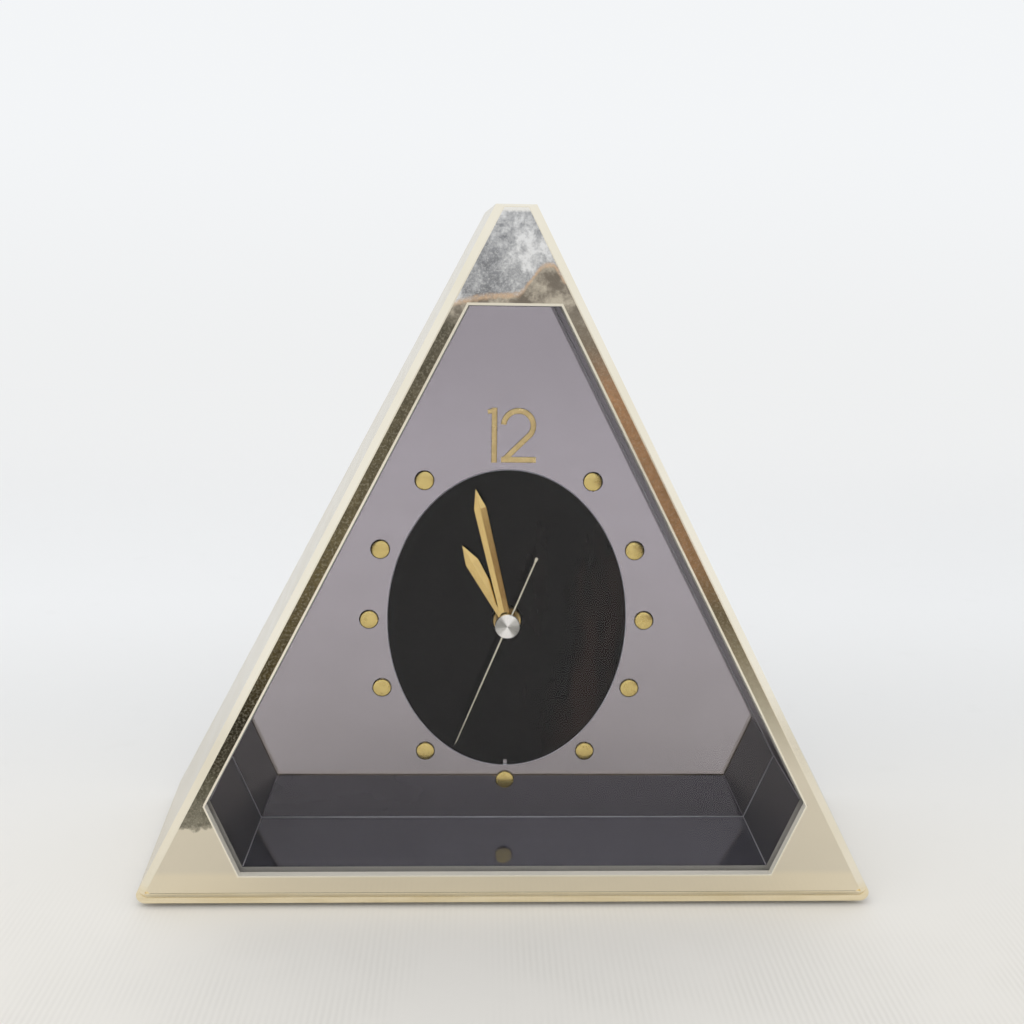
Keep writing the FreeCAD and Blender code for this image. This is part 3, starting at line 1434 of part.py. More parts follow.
def main():
    front_bezel()
    face_plate()
    window_glass()
    dial_tub()
    dial_plate()
    dial_oval()
    hour_studs()
    numeral()
    case_shell()
    back_cover()
    access_door()
    rubber_feet()
    screws()
    movement_base()
    movement_cover()
    centre_bush()
    motion_work()
    going_train()
    stator_and_coil()
    circuit()
    battery_and_contacts()
    hands()
    doc.recompute()
    check_pieces()
    os.makedirs("parts", exist_ok=True)
    for item in pieces:
        item.Shape.exportStep("parts/%s.step" % item.Label)
        print("%-20s %9.1f mm3  solids %d" % (item.Label, item.Shape.Volume, len(item.Shape.Solids)))


main()
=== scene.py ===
"""A triangular mantel clock of plated plastic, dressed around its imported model. Lengths are in
metres, the front looks towards -Y and up is +Z."""

import math

import bmesh
import bpy
import numpy as np
from mathutils import Matrix, Vector


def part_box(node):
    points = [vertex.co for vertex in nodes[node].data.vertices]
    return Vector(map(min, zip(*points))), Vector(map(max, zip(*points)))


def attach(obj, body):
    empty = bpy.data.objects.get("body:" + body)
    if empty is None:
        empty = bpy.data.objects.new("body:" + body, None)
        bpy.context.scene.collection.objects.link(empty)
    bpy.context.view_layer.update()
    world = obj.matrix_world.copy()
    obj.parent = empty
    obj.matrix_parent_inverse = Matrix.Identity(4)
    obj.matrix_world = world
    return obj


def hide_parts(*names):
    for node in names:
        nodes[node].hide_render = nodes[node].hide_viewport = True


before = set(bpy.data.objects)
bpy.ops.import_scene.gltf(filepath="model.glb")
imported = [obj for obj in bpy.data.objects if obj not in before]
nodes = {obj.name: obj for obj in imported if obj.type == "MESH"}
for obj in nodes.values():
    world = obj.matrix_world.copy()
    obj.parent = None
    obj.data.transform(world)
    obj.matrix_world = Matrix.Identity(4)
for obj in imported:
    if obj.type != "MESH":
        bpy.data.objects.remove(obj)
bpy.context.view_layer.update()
MM = 0.001

# Heights and places read from the solids, so that every dressed piece sits on its own.
HUB_Z = sum(corner.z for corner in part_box("centre_bush")) / 2
OVAL_LOW, OVAL_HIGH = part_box("dial_oval")
DIAL_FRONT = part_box("dial_plate")[0].y
# The window's corners, anticlockwise from the bottom left as (x, z).
WINDOW = [(-74.3 * MM, 10.7 * MM), (74.3 * MM, 10.7 * MM), (82.6 * MM, 31.7 * MM),
          (11.5 * MM, 167.15 * MM), (-11.5 * MM, 167.15 * MM), (-82.6 * MM, 31.7 * MM)]


def aim_camera():
    """The camera at the photographer's place: level, then turned by yaw, dipped by pitch and rolled
    about its own line of sight."""
    yaw, pitch, roll = 0.0335, 0.2308, 0.0151
    place = (-0.00933, -0.31076, 0.18000)
    focal_pixels, picture_pixels, film_width = 1106.05, 1024, 36.0
    forward = Vector((math.sin(yaw) * math.cos(pitch), math.cos(yaw) * math.cos(pitch),
                      -math.sin(pitch)))
    level = Vector((math.cos(yaw), -math.sin(yaw), 0.0))
    upright = level.cross(forward)
    right = math.cos(roll) * level + math.sin(roll) * upright
    up = math.cos(roll) * upright - math.sin(roll) * level
    lens = bpy.data.cameras.new("photo_camera")
    lens.sensor_width = film_width
    lens.lens = focal_pixels / picture_pixels * film_width
    lens.clip_start = 0.01
    lens.clip_end = 50.0
    camera = bpy.data.objects.new("photo_camera", lens)
    bpy.context.scene.collection.objects.link(camera)
    camera.matrix_world = Matrix((
        (right.x, up.x, -forward.x, place[0]),
        (right.y, up.y, -forward.y, place[1]),
        (right.z, up.z, -forward.z, place[2]),
        (0.0, 0.0, 0.0, 1.0)))
    bpy.context.scene.camera = camera


def piece(name, grids, body, finish, round_u=False, smooth=True):
    """One mesh of several grids of points, each a whole array (rows, columns, 3). Neighbouring rows
    and columns make quads, and with round_u the last row joins the first. Points that meet are
    merged."""
    points = []
    quads = []
    start = 0
    for grid in grids:
        rows, columns = grid.shape[:2]
        index = np.arange(rows * columns).reshape(rows, columns) + start
        if round_u:
            index = np.concatenate([index, index[:1]])
        quads.append(np.stack([index[:-1, :-1], index[1:, :-1], index[1:, 1:], index[:-1, 1:]],
                              axis=-1).reshape(-1, 4))
        points.append(grid.reshape(-1, 3))
        start += rows * columns
    mesh = bpy.data.meshes.new(name)
    mesh.from_pydata(np.concatenate(points).tolist(), [], np.concatenate(quads).tolist())
    form = bmesh.new()
    form.from_mesh(mesh)
    bmesh.ops.remove_doubles(form, verts=form.verts, dist=1e-7)
    bmesh.ops.dissolve_degenerate(form, edges=form.edges, dist=1e-7)
    bmesh.ops.recalc_face_normals(form, faces=form.faces)
    form.to_mesh(mesh)
    form.free()
    mesh.polygons.foreach_set("use_smooth", np.full(len(mesh.polygons), smooth))
    mesh.materials.append(finish.material)
    made = bpy.data.objects.new(name, mesh)
    bpy.context.scene.collection.objects.link(made)
    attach(made, body)
    return made


def turned(profile, centre, sides=48, axis="Y"):
    """A profile of (radius, height) pairs swung once round an axis through centre: each point goes to
    radius times the cosine and sine of the turn, at its own height along the axis."""
    radius, height = np.array(profile, dtype=float).T
    turn = np.linspace(0.0, 2.0 * math.pi, sides, endpoint=False)[:, None]
    first = radius * np.cos(turn)
    second = radius * np.sin(turn)
    along = np.broadcast_to(height, first.shape)
    order = (first, along, second) if axis == "Y" else (first, second, along)
    return np.stack(order, axis=-1) + np.array(centre)


def carried(path, profile, closed=False):
    """A profile of (across, out) pairs carried along a path of (x, y, z) points that lies in a plane of
    constant y: across runs along the path's own normal in that plane, and out runs towards the front.
    Open ends are drawn in to their middle."""
    path = np.array(path, dtype=float)
    if closed:
        ahead = np.roll(path, -1, axis=0) - path
        behind = path - np.roll(path, 1, axis=0)
    else:
        step = np.diff(path, axis=0)
        ahead = np.concatenate([step, step[-1:]])
        behind = np.concatenate([step[:1], step])
    ahead /= np.linalg.norm(ahead, axis=1, keepdims=True)
    behind /= np.linalg.norm(behind, axis=1, keepdims=True)
    tangent = ahead + behind
    tangent /= np.linalg.norm(tangent, axis=1, keepdims=True)
    widen = 1.0 / np.clip((tangent * ahead).sum(axis=1), 0.3, 1.0)
    normal = np.stack([-tangent[:, 2], np.zeros(len(path)), tangent[:, 0]], axis=1) * widen[:, None]
    across, out = np.array(profile, dtype=float).T
    front = np.array([0.0, -1.0, 0.0])
    grid = (path[:, None, :] + normal[:, None, :] * across[None, :, None]
            + front * out[None, :, None])
    grid = np.concatenate([grid, grid[:, :1]], axis=1)
    if closed:
        return np.concatenate([grid, grid[:1]])
    middle = grid.mean(axis=1, keepdims=True)
    return np.concatenate([np.broadcast_to(middle[:1], grid[:1].shape), grid,
                           np.broadcast_to(middle[-1:], grid[-1:].shape)])


def half_round(width, height, count=9):
    """A flat back and an arched front: half the width times the cosine of half a turn, and the height
    times its sine to the power 0.8, which fills the shoulders."""
    turn = np.linspace(0.0, math.pi, count)
    return np.stack([width / 2 * np.cos(turn), height * np.sin(turn) ** 0.8], axis=1)


def raised_stroke(width, wall, arch, count=7):
    """A flat back, straight walls and a low arch across the top: half the width times the cosine and
    arch times the sine of half a turn, set on walls of the given height."""
    turn = np.linspace(0.0, math.pi, count)
    top = np.stack([width / 2 * np.cos(turn), wall + arch * np.sin(turn)], axis=1)
    return np.concatenate([[[width / 2, 0.0]], top, [[-width / 2, 0.0]]])


def window_edge(inset):
    """Corners (x, z) of the window, moved in by inset: neighbouring edges are shifted along their own
    normals and crossed again."""
    corners = np.array(WINDOW)
    edge = np.roll(corners, -1, axis=0) - corners
    normal = np.stack([-edge[:, 1], edge[:, 0]], axis=1)
    normal /= np.linalg.norm(normal, axis=1, keepdims=True)
    reach = (normal * corners).sum(axis=1) + inset
    before = np.roll(normal, 1, axis=0)
    return np.linalg.solve(np.stack([before, normal], axis=1),
                           np.stack([np.roll(reach, 1), reach], axis=1)[..., None])[..., 0]


# Finishes are built from a few node helpers.
class Finish:
    """A material with one Principled shader, whose sockets take plain values or the outputs of other
    nodes."""

    def __init__(self, name, **values):
        self.material = bpy.data.materials.new(name)
        self.material.use_nodes = True
        self.tree = self.material.node_tree
        self.shader = self.tree.nodes["Principled BSDF"]
        self.output = self.tree.nodes["Material Output"]
        self.places = self.node("ShaderNodeTexCoord").outputs["Object"]
        for socket, value in values.items():
            self.set(self.shader, socket.replace("_", " "), value)

    def node(self, kind, **settings):
        made = self.tree.nodes.new(kind)
        for key, value in settings.items():
            setattr(made, key, value)
        return made

    def set(self, node, socket, value):
        if isinstance(value, bpy.types.NodeSocket):
            self.tree.links.new(value, node.inputs[socket])
        elif node.inputs[socket].type == "RGBA" and len(value) == 3:
            node.inputs[socket].default_value = (*value, 1.0)
        else:
            node.inputs[socket].default_value = value

    def stretched(self, scale, turn=(0.0, 0.0, 0.0)):
        """Object coordinates scaled along each axis and turned."""
        mapping = self.node("ShaderNodeMapping")
        self.set(mapping, "Vector", self.places)
        self.set(mapping, "Scale", scale)
        self.set(mapping, "Rotation", turn)
        return mapping.outputs["Vector"]

    def noise(self, scale, detail=3.0, roughness=0.55, vector=None, distortion=0.0):
        texture = self.node("ShaderNodeTexNoise")
        self.set(texture, "Vector", vector if vector is not None else self.places)
        self.set(texture, "Scale", scale)
        self.set(texture, "Detail", detail)
        self.set(texture, "Roughness", roughness)
        self.set(texture, "Distortion", distortion)
        return texture.outputs["Fac"]

    def specks(self, scale, size):
        """1 inside small round specks, one to a Voronoi cell, and 0 between them."""
        cells = self.node("ShaderNodeTexVoronoi")
        self.set(cells, "Vector", self.places)
        self.set(cells, "Scale", scale)
        return self.ramp(cells.outputs["Distance"], size, size * 0.6, 0.0, 1.0)

    def ramp(self, value, low, high, at_low=0.0, at_high=1.0, smooth=True):
        """value carried from low..high to at_low..at_high, held beyond both ends."""
        kind = "SMOOTHSTEP" if smooth else "LINEAR"
        scaled = self.node("ShaderNodeMapRange", interpolation_type=kind)
        for socket, number in (("Value", value), ("From Min", low), ("From Max", high),
                               ("To Min", at_low), ("To Max", at_high)):
            self.set(scaled, socket, number)
        return scaled.outputs["Result"]

    def maths(self, operation, first, second=0.5, third=0.0):
        """One step of arithmetic, by the name that Blender's Math node has for it."""
        step = self.node("ShaderNodeMath", operation=operation)
        for index, number in enumerate((first, second, third)):
            if isinstance(number, bpy.types.NodeSocket):
                self.tree.links.new(number, step.inputs[index])
            else:
                step.inputs[index].default_value = number
        return step.outputs[0]

    def times(self, first, second):
        return self.maths("MULTIPLY", first, second)

    def mix(self, share, first, second):
        """Colour first where share is 0 and second where it is 1."""
        blend = self.node("ShaderNodeMix", data_type="RGBA")
        for index, value in ((0, share), (6, first), (7, second)):
            if isinstance(value, bpy.types.NodeSocket):
                self.tree.links.new(value, blend.inputs[index])
            elif index == 0:
                blend.inputs[0].default_value = value
            else:
                blend.inputs[index].default_value = (*value, 1.0)
        return blend.outputs[2]

    def bump(self, height, depth, strength):
        """Relief of the given height map on the shader's normal."""
        relief = self.node("ShaderNodeBump")
        self.set(relief, "Height", height)
        self.set(relief, "Distance", depth)
        self.set(relief, "Strength", strength)
        self.set(self.shader, "Normal", relief.outputs["Normal"])

    def parts(self, vector):
        """The x, y and z of a vector, the finish's own place or normal."""
        split = self.node("ShaderNodeSeparateXYZ")
        self.set(split, "Vector", vector)
        return split.outputs["X"], split.outputs["Y"], split.outputs["Z"]

    def axes(self):
        return self.parts(self.places)

    def facing(self):
        return self.parts(self.node("ShaderNodeNewGeometry").outputs["Normal"])

    def tint(self, colour):
        self.set(self.shader, "Base Color", colour)

    def gloss(self, value, low, high):
        """Roughness from low to high as value, a noise, goes from dark to light."""
        self.set(self.shader, "Roughness", self.ramp(value, 0.3, 0.7, low, high))

    def bands(self, value, low, high, *stops):
        """Colours met one after another as value goes from low to high: each stop is a place and a
        colour."""
        strip = self.node("ShaderNodeValToRGB")
        self.set(strip, "Fac", self.ramp(value, low, high, smooth=False))
        marks = strip.color_ramp.elements
        while len(marks) < len(stops):
            marks.new(0.5)
        for mark, (place, colour) in zip(marks, stops):
            mark.position = (place - low) / (high - low)
            mark.color = (*colour, 1.0)
        return strip.outputs["Color"]

    def outside_window(self):
        """How far a point lies outside the window's edge, as the greatest of its distances past the
        sides: the foot, the two edges of the right half, which x folds onto the left, and the top."""
        x, _, z = self.axes()
        across = self.maths("ABSOLUTE", x)
        corners = np.array(WINDOW)
        depth = self.maths("SUBTRACT", float(corners[0, 1]), z)
        for start, end in ((1, 2), (2, 3)):
            run = corners[end] - corners[start]
            normal = np.array([run[1], -run[0]]) / np.linalg.norm(run)
            reach = float(normal @ corners[start])
            level = self.maths("MULTIPLY_ADD", across, float(normal[0]),
                               self.times(z, float(normal[1])))
            depth = self.maths("MAXIMUM", depth, self.maths("SUBTRACT", level, reach))
        return self.maths("MAXIMUM", depth, self.maths("SUBTRACT", z, float(corners[3, 1])))

    def wear(self, *names):
        """This finish is put on the named solids."""
        for name in names:
            for slot in nodes[name].material_slots:
                slot.material = self.material


def plated(name, colour, shade, roughness=0.16, grain=900.0):
    """Bright plating over plastic: a metal with clouded roughness, faint colour drift and a fine
    orange-peel surface."""
    finish = Finish(name, Metallic=1.0)
    cloud = finish.noise(38.0, 4.0)
    fine = finish.noise(grain, 3.0)
    finish.tint(finish.mix(finish.ramp(cloud, 0.35, 0.7), colour, shade))
    finish.gloss(fine, roughness * 0.8, roughness * 1.3)
    finish.bump(fine, 0.000008, 0.35)
    return finish


def moulded(name, colour, shade, roughness=0.35, grain=1600.0, depth=0.00002):
    """Moulded plastic with a fine spark-eroded grain and slightly uneven gloss."""
    finish = Finish(name)
    cloud = finish.noise(60.0, 3.0)
    grit = finish.noise(grain, 2.0)
    finish.tint(finish.mix(finish.ramp(cloud, 0.3, 0.7), colour, shade))
    finish.gloss(grit, roughness * 0.85, roughness * 1.2)
    finish.bump(grit, depth, 0.5)
    return finish


def bezel_plating():
    """The bezel's pale gold plating: bright on its bands and rim, satin inside the window's edge, with
    a warmer tint and a little rubbing towards the foot."""
    finish = Finish("bezel_plating", Metallic=1.0)
    z = finish.axes()[2]
    cloud = finish.noise(38.0, 4.0)
    rub = finish.noise(1.0, 4.0, vector=finish.stretched((60.0, 60.0, 900.0)))
    pale = finish.mix(finish.ramp(cloud, 0.35, 0.7), (0.93, 0.875, 0.745), (0.89, 0.835, 0.69))
    warm = finish.mix(finish.ramp(rub, 0.35, 0.65), (0.93, 0.83, 0.615), (0.86, 0.75, 0.52))
    colour = finish.mix(finish.ramp(z, 0.0085, 0.0045), pale, warm)
    reveal = finish.ramp(finish.outside_window(), 0.00012, 0.00004)
    finish.tint(finish.mix(reveal, colour, (0.86, 0.82, 0.72)))
    gloss = finish.ramp(rub, 0.3, 0.7, 0.11, 0.18)
    finish.set(finish.shader, "Roughness", finish.maths("MULTIPLY_ADD", reveal, 0.3, gloss))
    finish.set(finish.shader, "Metallic", finish.ramp(reveal, 0.0, 1.0, 1.0, 0.25))
    finish.bump(finish.noise(500.0, 2.0), 0.000004, 0.25)
    return finish


def shell_plating():
    """The shell's satin gilding, drawn faintly from front to back, with a few rubbed patches."""
    finish = Finish("shell_plating", Metallic=1.0)
    drawn = finish.noise(1.0, 3.0, vector=finish.stretched((260.0, 22.0, 260.0)))
    cloud = finish.noise(24.0, 3.0)
    tint = finish.mix(finish.ramp(cloud, 0.3, 0.7), (0.76, 0.70, 0.575), (0.71, 0.65, 0.525))
    finish.tint(tint)
    finish.gloss(drawn, 0.20, 0.27)
    finish.bump(drawn, 0.000006, 0.2)
    return finish


def silver_with_painted_highlight():
    """A silver disc brushed from its hub outwards: fine rays, two broad bright wedges of painted
    highlight and two darker wedges of painted shade, worked out from the angle round the hub."""
    finish = Finish("cap_silvered", Metallic=1.0)
    x, _, z = finish.axes()
    angle = finish.maths("ARCTAN2", finish.maths("SUBTRACT", z, HUB_Z), x)
    rays = finish.node("ShaderNodeTexNoise", noise_dimensions="1D")
    finish.set(rays, "W", angle)
    finish.set(rays, "Scale", 30.0)
    lean = finish.maths("ABSOLUTE", finish.maths("COSINE", finish.maths("SUBTRACT", angle, 1.45)))
    painted_highlight_wedge = finish.ramp(finish.maths("MULTIPLY_ADD", rays.outputs["Fac"], 0.18, lean), 0.72, 1.08)
    # Painted shade: a darker tone across the opposite pair of wedges.
    dark = finish.maths("ABSOLUTE", finish.maths("COSINE", finish.maths("SUBTRACT", angle, 2.75)))
    tone = finish.mix(finish.ramp(dark, 0.70, 1.0), (0.60, 0.59, 0.56), (0.36, 0.355, 0.33))
    finish.tint(finish.mix(painted_highlight_wedge, tone, (1.0, 0.99, 0.96)))
    finish.gloss(rays.outputs["Fac"], 0.2, 0.3)
    finish.bump(rays.outputs["Fac"], 0.000004, 0.3)
    return finish


def brushed(name, colour, shade, roughness=0.3, scale=(2500.0, 2500.0, 60.0)):
    """Rolled or brushed sheet: noise drawn out along one axis drives colour, gloss and relief."""
    finish = Finish(name, Metallic=1.0)
    streak = finish.noise(1.0, 3.0, vector=finish.stretched(scale))
    finish.tint(finish.mix(finish.ramp(streak, 0.3, 0.7), colour, shade))
    finish.gloss(streak, roughness * 0.8, roughness * 1.25)
    finish.bump(streak, 0.000006, 0.4)
    return finish


def face_patina_and_painted_reflection():
    """Gilt foil of the face: clear champagne in the bottom corners, speckled patina up both limbs over
    a painted reflection that deepens and fades again, dark olive on the left and orange-brown on the
    right, and a clouded grey bloom on the apex with one orange-edged stain at its lower right."""
    finish = Finish("face_gilt", Metallic=1.0)
    x, _, z = finish.axes()
    blotch = finish.noise(150.0, 6.0, 0.65)
    cloud = finish.noise(95.0, 6.0, 0.7, distortion=0.15)
    speckle = finish.ramp(finish.noise(1500.0, 5.0, 0.75), 0.46, 0.68)
    mottle = finish.ramp(finish.noise(620.0, 5.0, 0.75), 0.36, 0.64)
    ragged = finish.maths("MULTIPLY_ADD", blotch, 0.008, z)

    # The limbs, from the foot upwards: each stop is a height and the tint there. The dark bands, olive
    # on the left and orange-brown on the right, are a painted reflection.
    foot, top = 0.030, 0.180
    clear = (0.76, 0.695, 0.565)
    left = finish.bands(
        finish.maths("ADD", ragged, 0.0018), foot, top,
        (0.0306, clear), (0.0314, (0.30, 0.28, 0.22)),
        (0.042, (0.15, 0.14, 0.10)), (0.050, (0.06, 0.052, 0.034)),
        (0.062, (0.024, 0.02, 0.012)), (0.075, (0.085, 0.066, 0.03)),
        (0.105, (0.155, 0.125, 0.062)), (0.168, (0.15, 0.135, 0.10)))
    right = finish.bands(
        ragged, foot, top,
        (0.045, clear), (0.064, (0.50, 0.455, 0.35)),
        (0.080, (0.30, 0.26, 0.175)), (0.092, (0.19, 0.155, 0.095)),
        (0.106, (0.42, 0.25, 0.135)), (0.148, (0.50, 0.285, 0.155)),
        (0.162, (0.27, 0.225, 0.175)), (0.172, (0.33, 0.30, 0.25)))
    side = finish.ramp(x, -0.006, 0.006)
    limb = finish.mix(side, left, right)
    dull = finish.mix(side, finish.ramp(ragged, 0.0290, 0.0298), finish.ramp(ragged, 0.055, 0.085))
    dark_left = finish.mix(0.42, limb, (0.03, 0.026, 0.018))
    dark_right = finish.mix(0.25, limb, (0.10, 0.06, 0.03))
    limb = finish.mix(finish.times(mottle, dull), limb, finish.mix(side, dark_left, dark_right))
    flecks = finish.times(finish.times(speckle, dull), 0.42)
    limb = finish.mix(flecks, limb, (0.52, 0.48, 0.38))
    limb = finish.mix(finish.ramp(z, 0.0125, 0.0100), limb, (0.84, 0.755, 0.585))

    # The apex: a clouded grey bloom, lighter where the noise is high.
    grey = finish.bands(
        finish.maths("MULTIPLY_ADD", mottle, 0.07, cloud), 0.30, 0.72,
        (0.38, (0.19, 0.195, 0.205)), (0.47, (0.31, 0.315, 0.33)),
        (0.55, (0.47, 0.475, 0.485)), (0.66, (0.86, 0.86, 0.86)))
    grey = finish.mix(finish.times(speckle, 0.55), grey, (0.82, 0.82, 0.80))

    # The stain's upper edge rises from the left along the window and humps near the right.
    rise = finish.ramp(x, 0.0005, 0.0075, 0.0, 0.0062)
    fall = finish.ramp(x, 0.0088, 0.0125, 0.0, 0.0045)
    hump = finish.maths("SUBTRACT", rise, fall)
    crest = finish.maths("ADD", finish.maths("MULTIPLY_ADD", x, 0.13, 0.1698), hump)
    above = finish.maths("SUBTRACT", finish.maths("MULTIPLY_ADD", cloud, 0.004, z),
                         finish.maths("ADD", crest, 0.002))
    stain = finish.mix(finish.ramp(blotch, 0.4, 0.62), (0.22, 0.19, 0.155), (0.60, 0.54, 0.44))
    grey = finish.mix(finish.ramp(above, 0.0002, -0.0006), grey, stain)
    edge = finish.ramp(finish.maths("ABSOLUTE", above), 0.0011, 0.0001)
    edge = finish.times(edge, finish.ramp(mottle, 0.0, 1.0, 0.8, 0.45))
    grey = finish.mix(edge, grey, (0.74, 0.52, 0.34))

    # The bloom covers the apex, and the plate's top edge above it is bright with a painted highlight.
    bloom = finish.ramp(finish.maths("MULTIPLY_ADD", blotch, 0.010, z), 0.166, 0.1725)
    bright = finish.ramp(z, 0.1893, 0.1902)
    finish.tint(finish.mix(bright, finish.mix(bloom, limb, grey), (0.93, 0.91, 0.86)))
    cloudy = finish.ramp(finish.maths("ADD", dull, bloom), 0.0, 1.0, 0.09, 0.22)
    finish.set(finish.shader, "Roughness", cloudy)
    finish.bump(finish.maths("ADD", speckle, blotch), 0.00001, 0.4)
    return finish


def clear_pane():
    """Clear acrylic, which is plain see-through to the shadow rays that look for the lamps."""
    finish = Finish("window_acrylic", Base_Color=(0.97, 0.97, 0.985), Roughness=0.0, IOR=1.19)
    finish.set(finish.shader, "Transmission Weight", 1.0)
    path = finish.node("ShaderNodeLightPath")
    through = finish.node("ShaderNodeBsdfTransparent")
    finish.set(through, "Color", (0.95, 0.95, 0.96))
    choose = finish.node("ShaderNodeMixShader")
    finish.set(choose, "Fac", path.outputs["Is Shadow Ray"])
    finish.tree.links.new(finish.shader.outputs[0], choose.inputs[1])
    finish.tree.links.new(through.outputs[0], choose.inputs[2])
    finish.tree.links.new(choose.outputs[0], finish.output.inputs["Surface"])
    return finish


def glossy_tub():
    """Charcoal plastic, polished on its floor and satin on its walls, with a wiped film, dust specks, a
    painted reflection of the lavender dial on its upward faces, and a pale lip behind the glass,
    from the window's edge to just short of the walls."""
    finish = Finish("tub_charcoal_gloss", IOR=1.75)
    film = finish.noise(22.0, 3.0)
    dust = finish.specks(330.0, 0.055)
    base = finish.mix(finish.ramp(film, 0.3, 0.7), (0.008, 0.0075, 0.011), (0.011, 0.0105, 0.015))
    flat = finish.ramp(finish.facing()[2], 0.8, 0.98)
    # Painted reflection: the upward faces are lightened towards the lavender of the dial.
    floor_painted_reflection = finish.times(flat, finish.ramp(film, 0.2, 0.8, 0.6, 1.0))
    base = finish.mix(floor_painted_reflection, base, (0.070, 0.068, 0.085))
    lip = finish.ramp(finish.outside_window(), -0.00035, -0.00030)
    base = finish.mix(lip, base, (0.50, 0.48, 0.43))
    finish.tint(finish.mix(finish.times(dust, 0.04), base, (0.55, 0.55, 0.55)))
    polish = finish.ramp(film, 0.3, 0.7, 0.015, 0.03)
    satin = finish.ramp(flat, 0.0, 1.0, 0.28, 0.0)
    finish.set(finish.shader, "Roughness", finish.maths("ADD", polish, satin))
    finish.bump(finish.noise(14.0, 1.0), 0.00003, 0.1)
    return finish


def mirror_dial():
    """Vacuum-silvered dial under a lavender lacquer that is a touch warmer towards the foot."""
    finish = Finish("dial_lavender_mirror", Metallic=1.0)
    z = finish.axes()[2]
    film = finish.noise(26.0, 4.0, distortion=0.6)
    height = finish.ramp(finish.maths("MULTIPLY_ADD", film, 0.03, z), 0.03, 0.15)
    finish.tint(finish.mix(height, (0.39, 0.363, 0.38), (0.455, 0.425, 0.475)))
    finish.gloss(film, 0.004, 0.014)
    finish.bump(finish.noise(12.0, 1.0), 0.00003, 0.1)
    return finish


def lacquer_oval():
    """Gloss black lacquer with wiped marks and a faint painted warm reflection at the lower right."""
    finish = Finish("oval_lacquer", Specular_IOR_Level=0.2)
    x = finish.axes()[0]
    wipes_and_reflection_streaks = finish.noise(1.0, 4.0, vector=finish.stretched((60.0, 30.0, 16.0), (0.0, 0.35, 0.0)))
    # Painted reflection: a faint brownish warmth in streaks towards the right.
    warm = finish.times(finish.ramp(x, -0.002, 0.022), finish.ramp(wipes_and_reflection_streaks, 0.46, 0.68))
    finish.tint(finish.mix(warm, (0.0045, 0.0045, 0.005), (0.019, 0.0105, 0.009)))
    finish.gloss(wipes_and_reflection_streaks, 0.05, 0.12)
    finish.bump(finish.noise(900.0, 2.0), 0.000005, 0.2)
    return finish


def applied_gilt(name, bright, deep, gloss=0.12, painted_edge_shade=0.0):
    """Bright gilding of the applied parts, a little deeper in the hollows of its grain.
    painted_edge_shade is how far the flanks, whose normals turn away from the front, are darkened with
    painted shade."""
    finish = Finish(name, Metallic=1.0)
    grain = finish.noise(700.0, 3.0)
    # Painted shade: the flanks go dark by how far their normals turn away from the front.
    painted_flank_shade = finish.ramp(finish.maths("ABSOLUTE", finish.facing()[1]), 0.94, 0.80, 0.0, painted_edge_shade)
    gold = finish.mix(finish.ramp(grain, 0.35, 0.65), bright, deep)
    finish.tint(finish.mix(painted_flank_shade, gold, (0.10, 0.07, 0.025)))
    finish.gloss(grain, gloss, gloss * 1.5)
    finish.bump(grain, 0.000004, 0.3)
    return finish


# Pieces turned, drawn or moulded finer than the solids that they stand for.
def domed_studs():
    """Eleven gilt studs: a short straight edge, a small rounded shoulder and a shallow dome, at the
    hours but twelve, where their rays cross an upright ellipse."""
    radius, edge, crown, shoulder = 2.84 * MM, 0.34 * MM, 0.48 * MM, 0.12 * MM
    half_width, half_height, lowest = 40.4 * MM, 51.8 * MM, 51.0 * MM
    turn = np.linspace(math.pi / 2, 0.0, 10)
    dome_r = (radius - 0.14 * MM) * np.sin(turn)
    dome_y = -edge - shoulder - (crown - shoulder) * np.cos(turn)
    profile = [(0.0, 0.0), (radius, 0.0), (radius, -edge), (radius - 0.05 * MM, -edge - 0.09 * MM)]
    profile += list(zip(dome_r, dome_y))
    hours = np.arange(1, 12)
    angle = np.radians(30.0 * hours)
    reach = 1.0 / np.hypot(np.sin(angle) / half_width, np.cos(angle) / half_height)
    reach[hours == 6] = lowest
    grids = [turned(profile, (r * math.sin(a), DIAL_FRONT, HUB_Z + r * math.cos(a)), 40)
             for r, a in zip(reach, angle)]
    # The studs' rims get painted shade: a dark outline where their normals turn away from the front.
    gilt = applied_gilt("stud_gilt", (0.76, 0.60, 0.235), (0.68, 0.53, 0.20), 0.19, 0.85)
    studs = piece("hour_studs_domed", grids, "case", gilt, round_u=True)
    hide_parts("hour_studs")


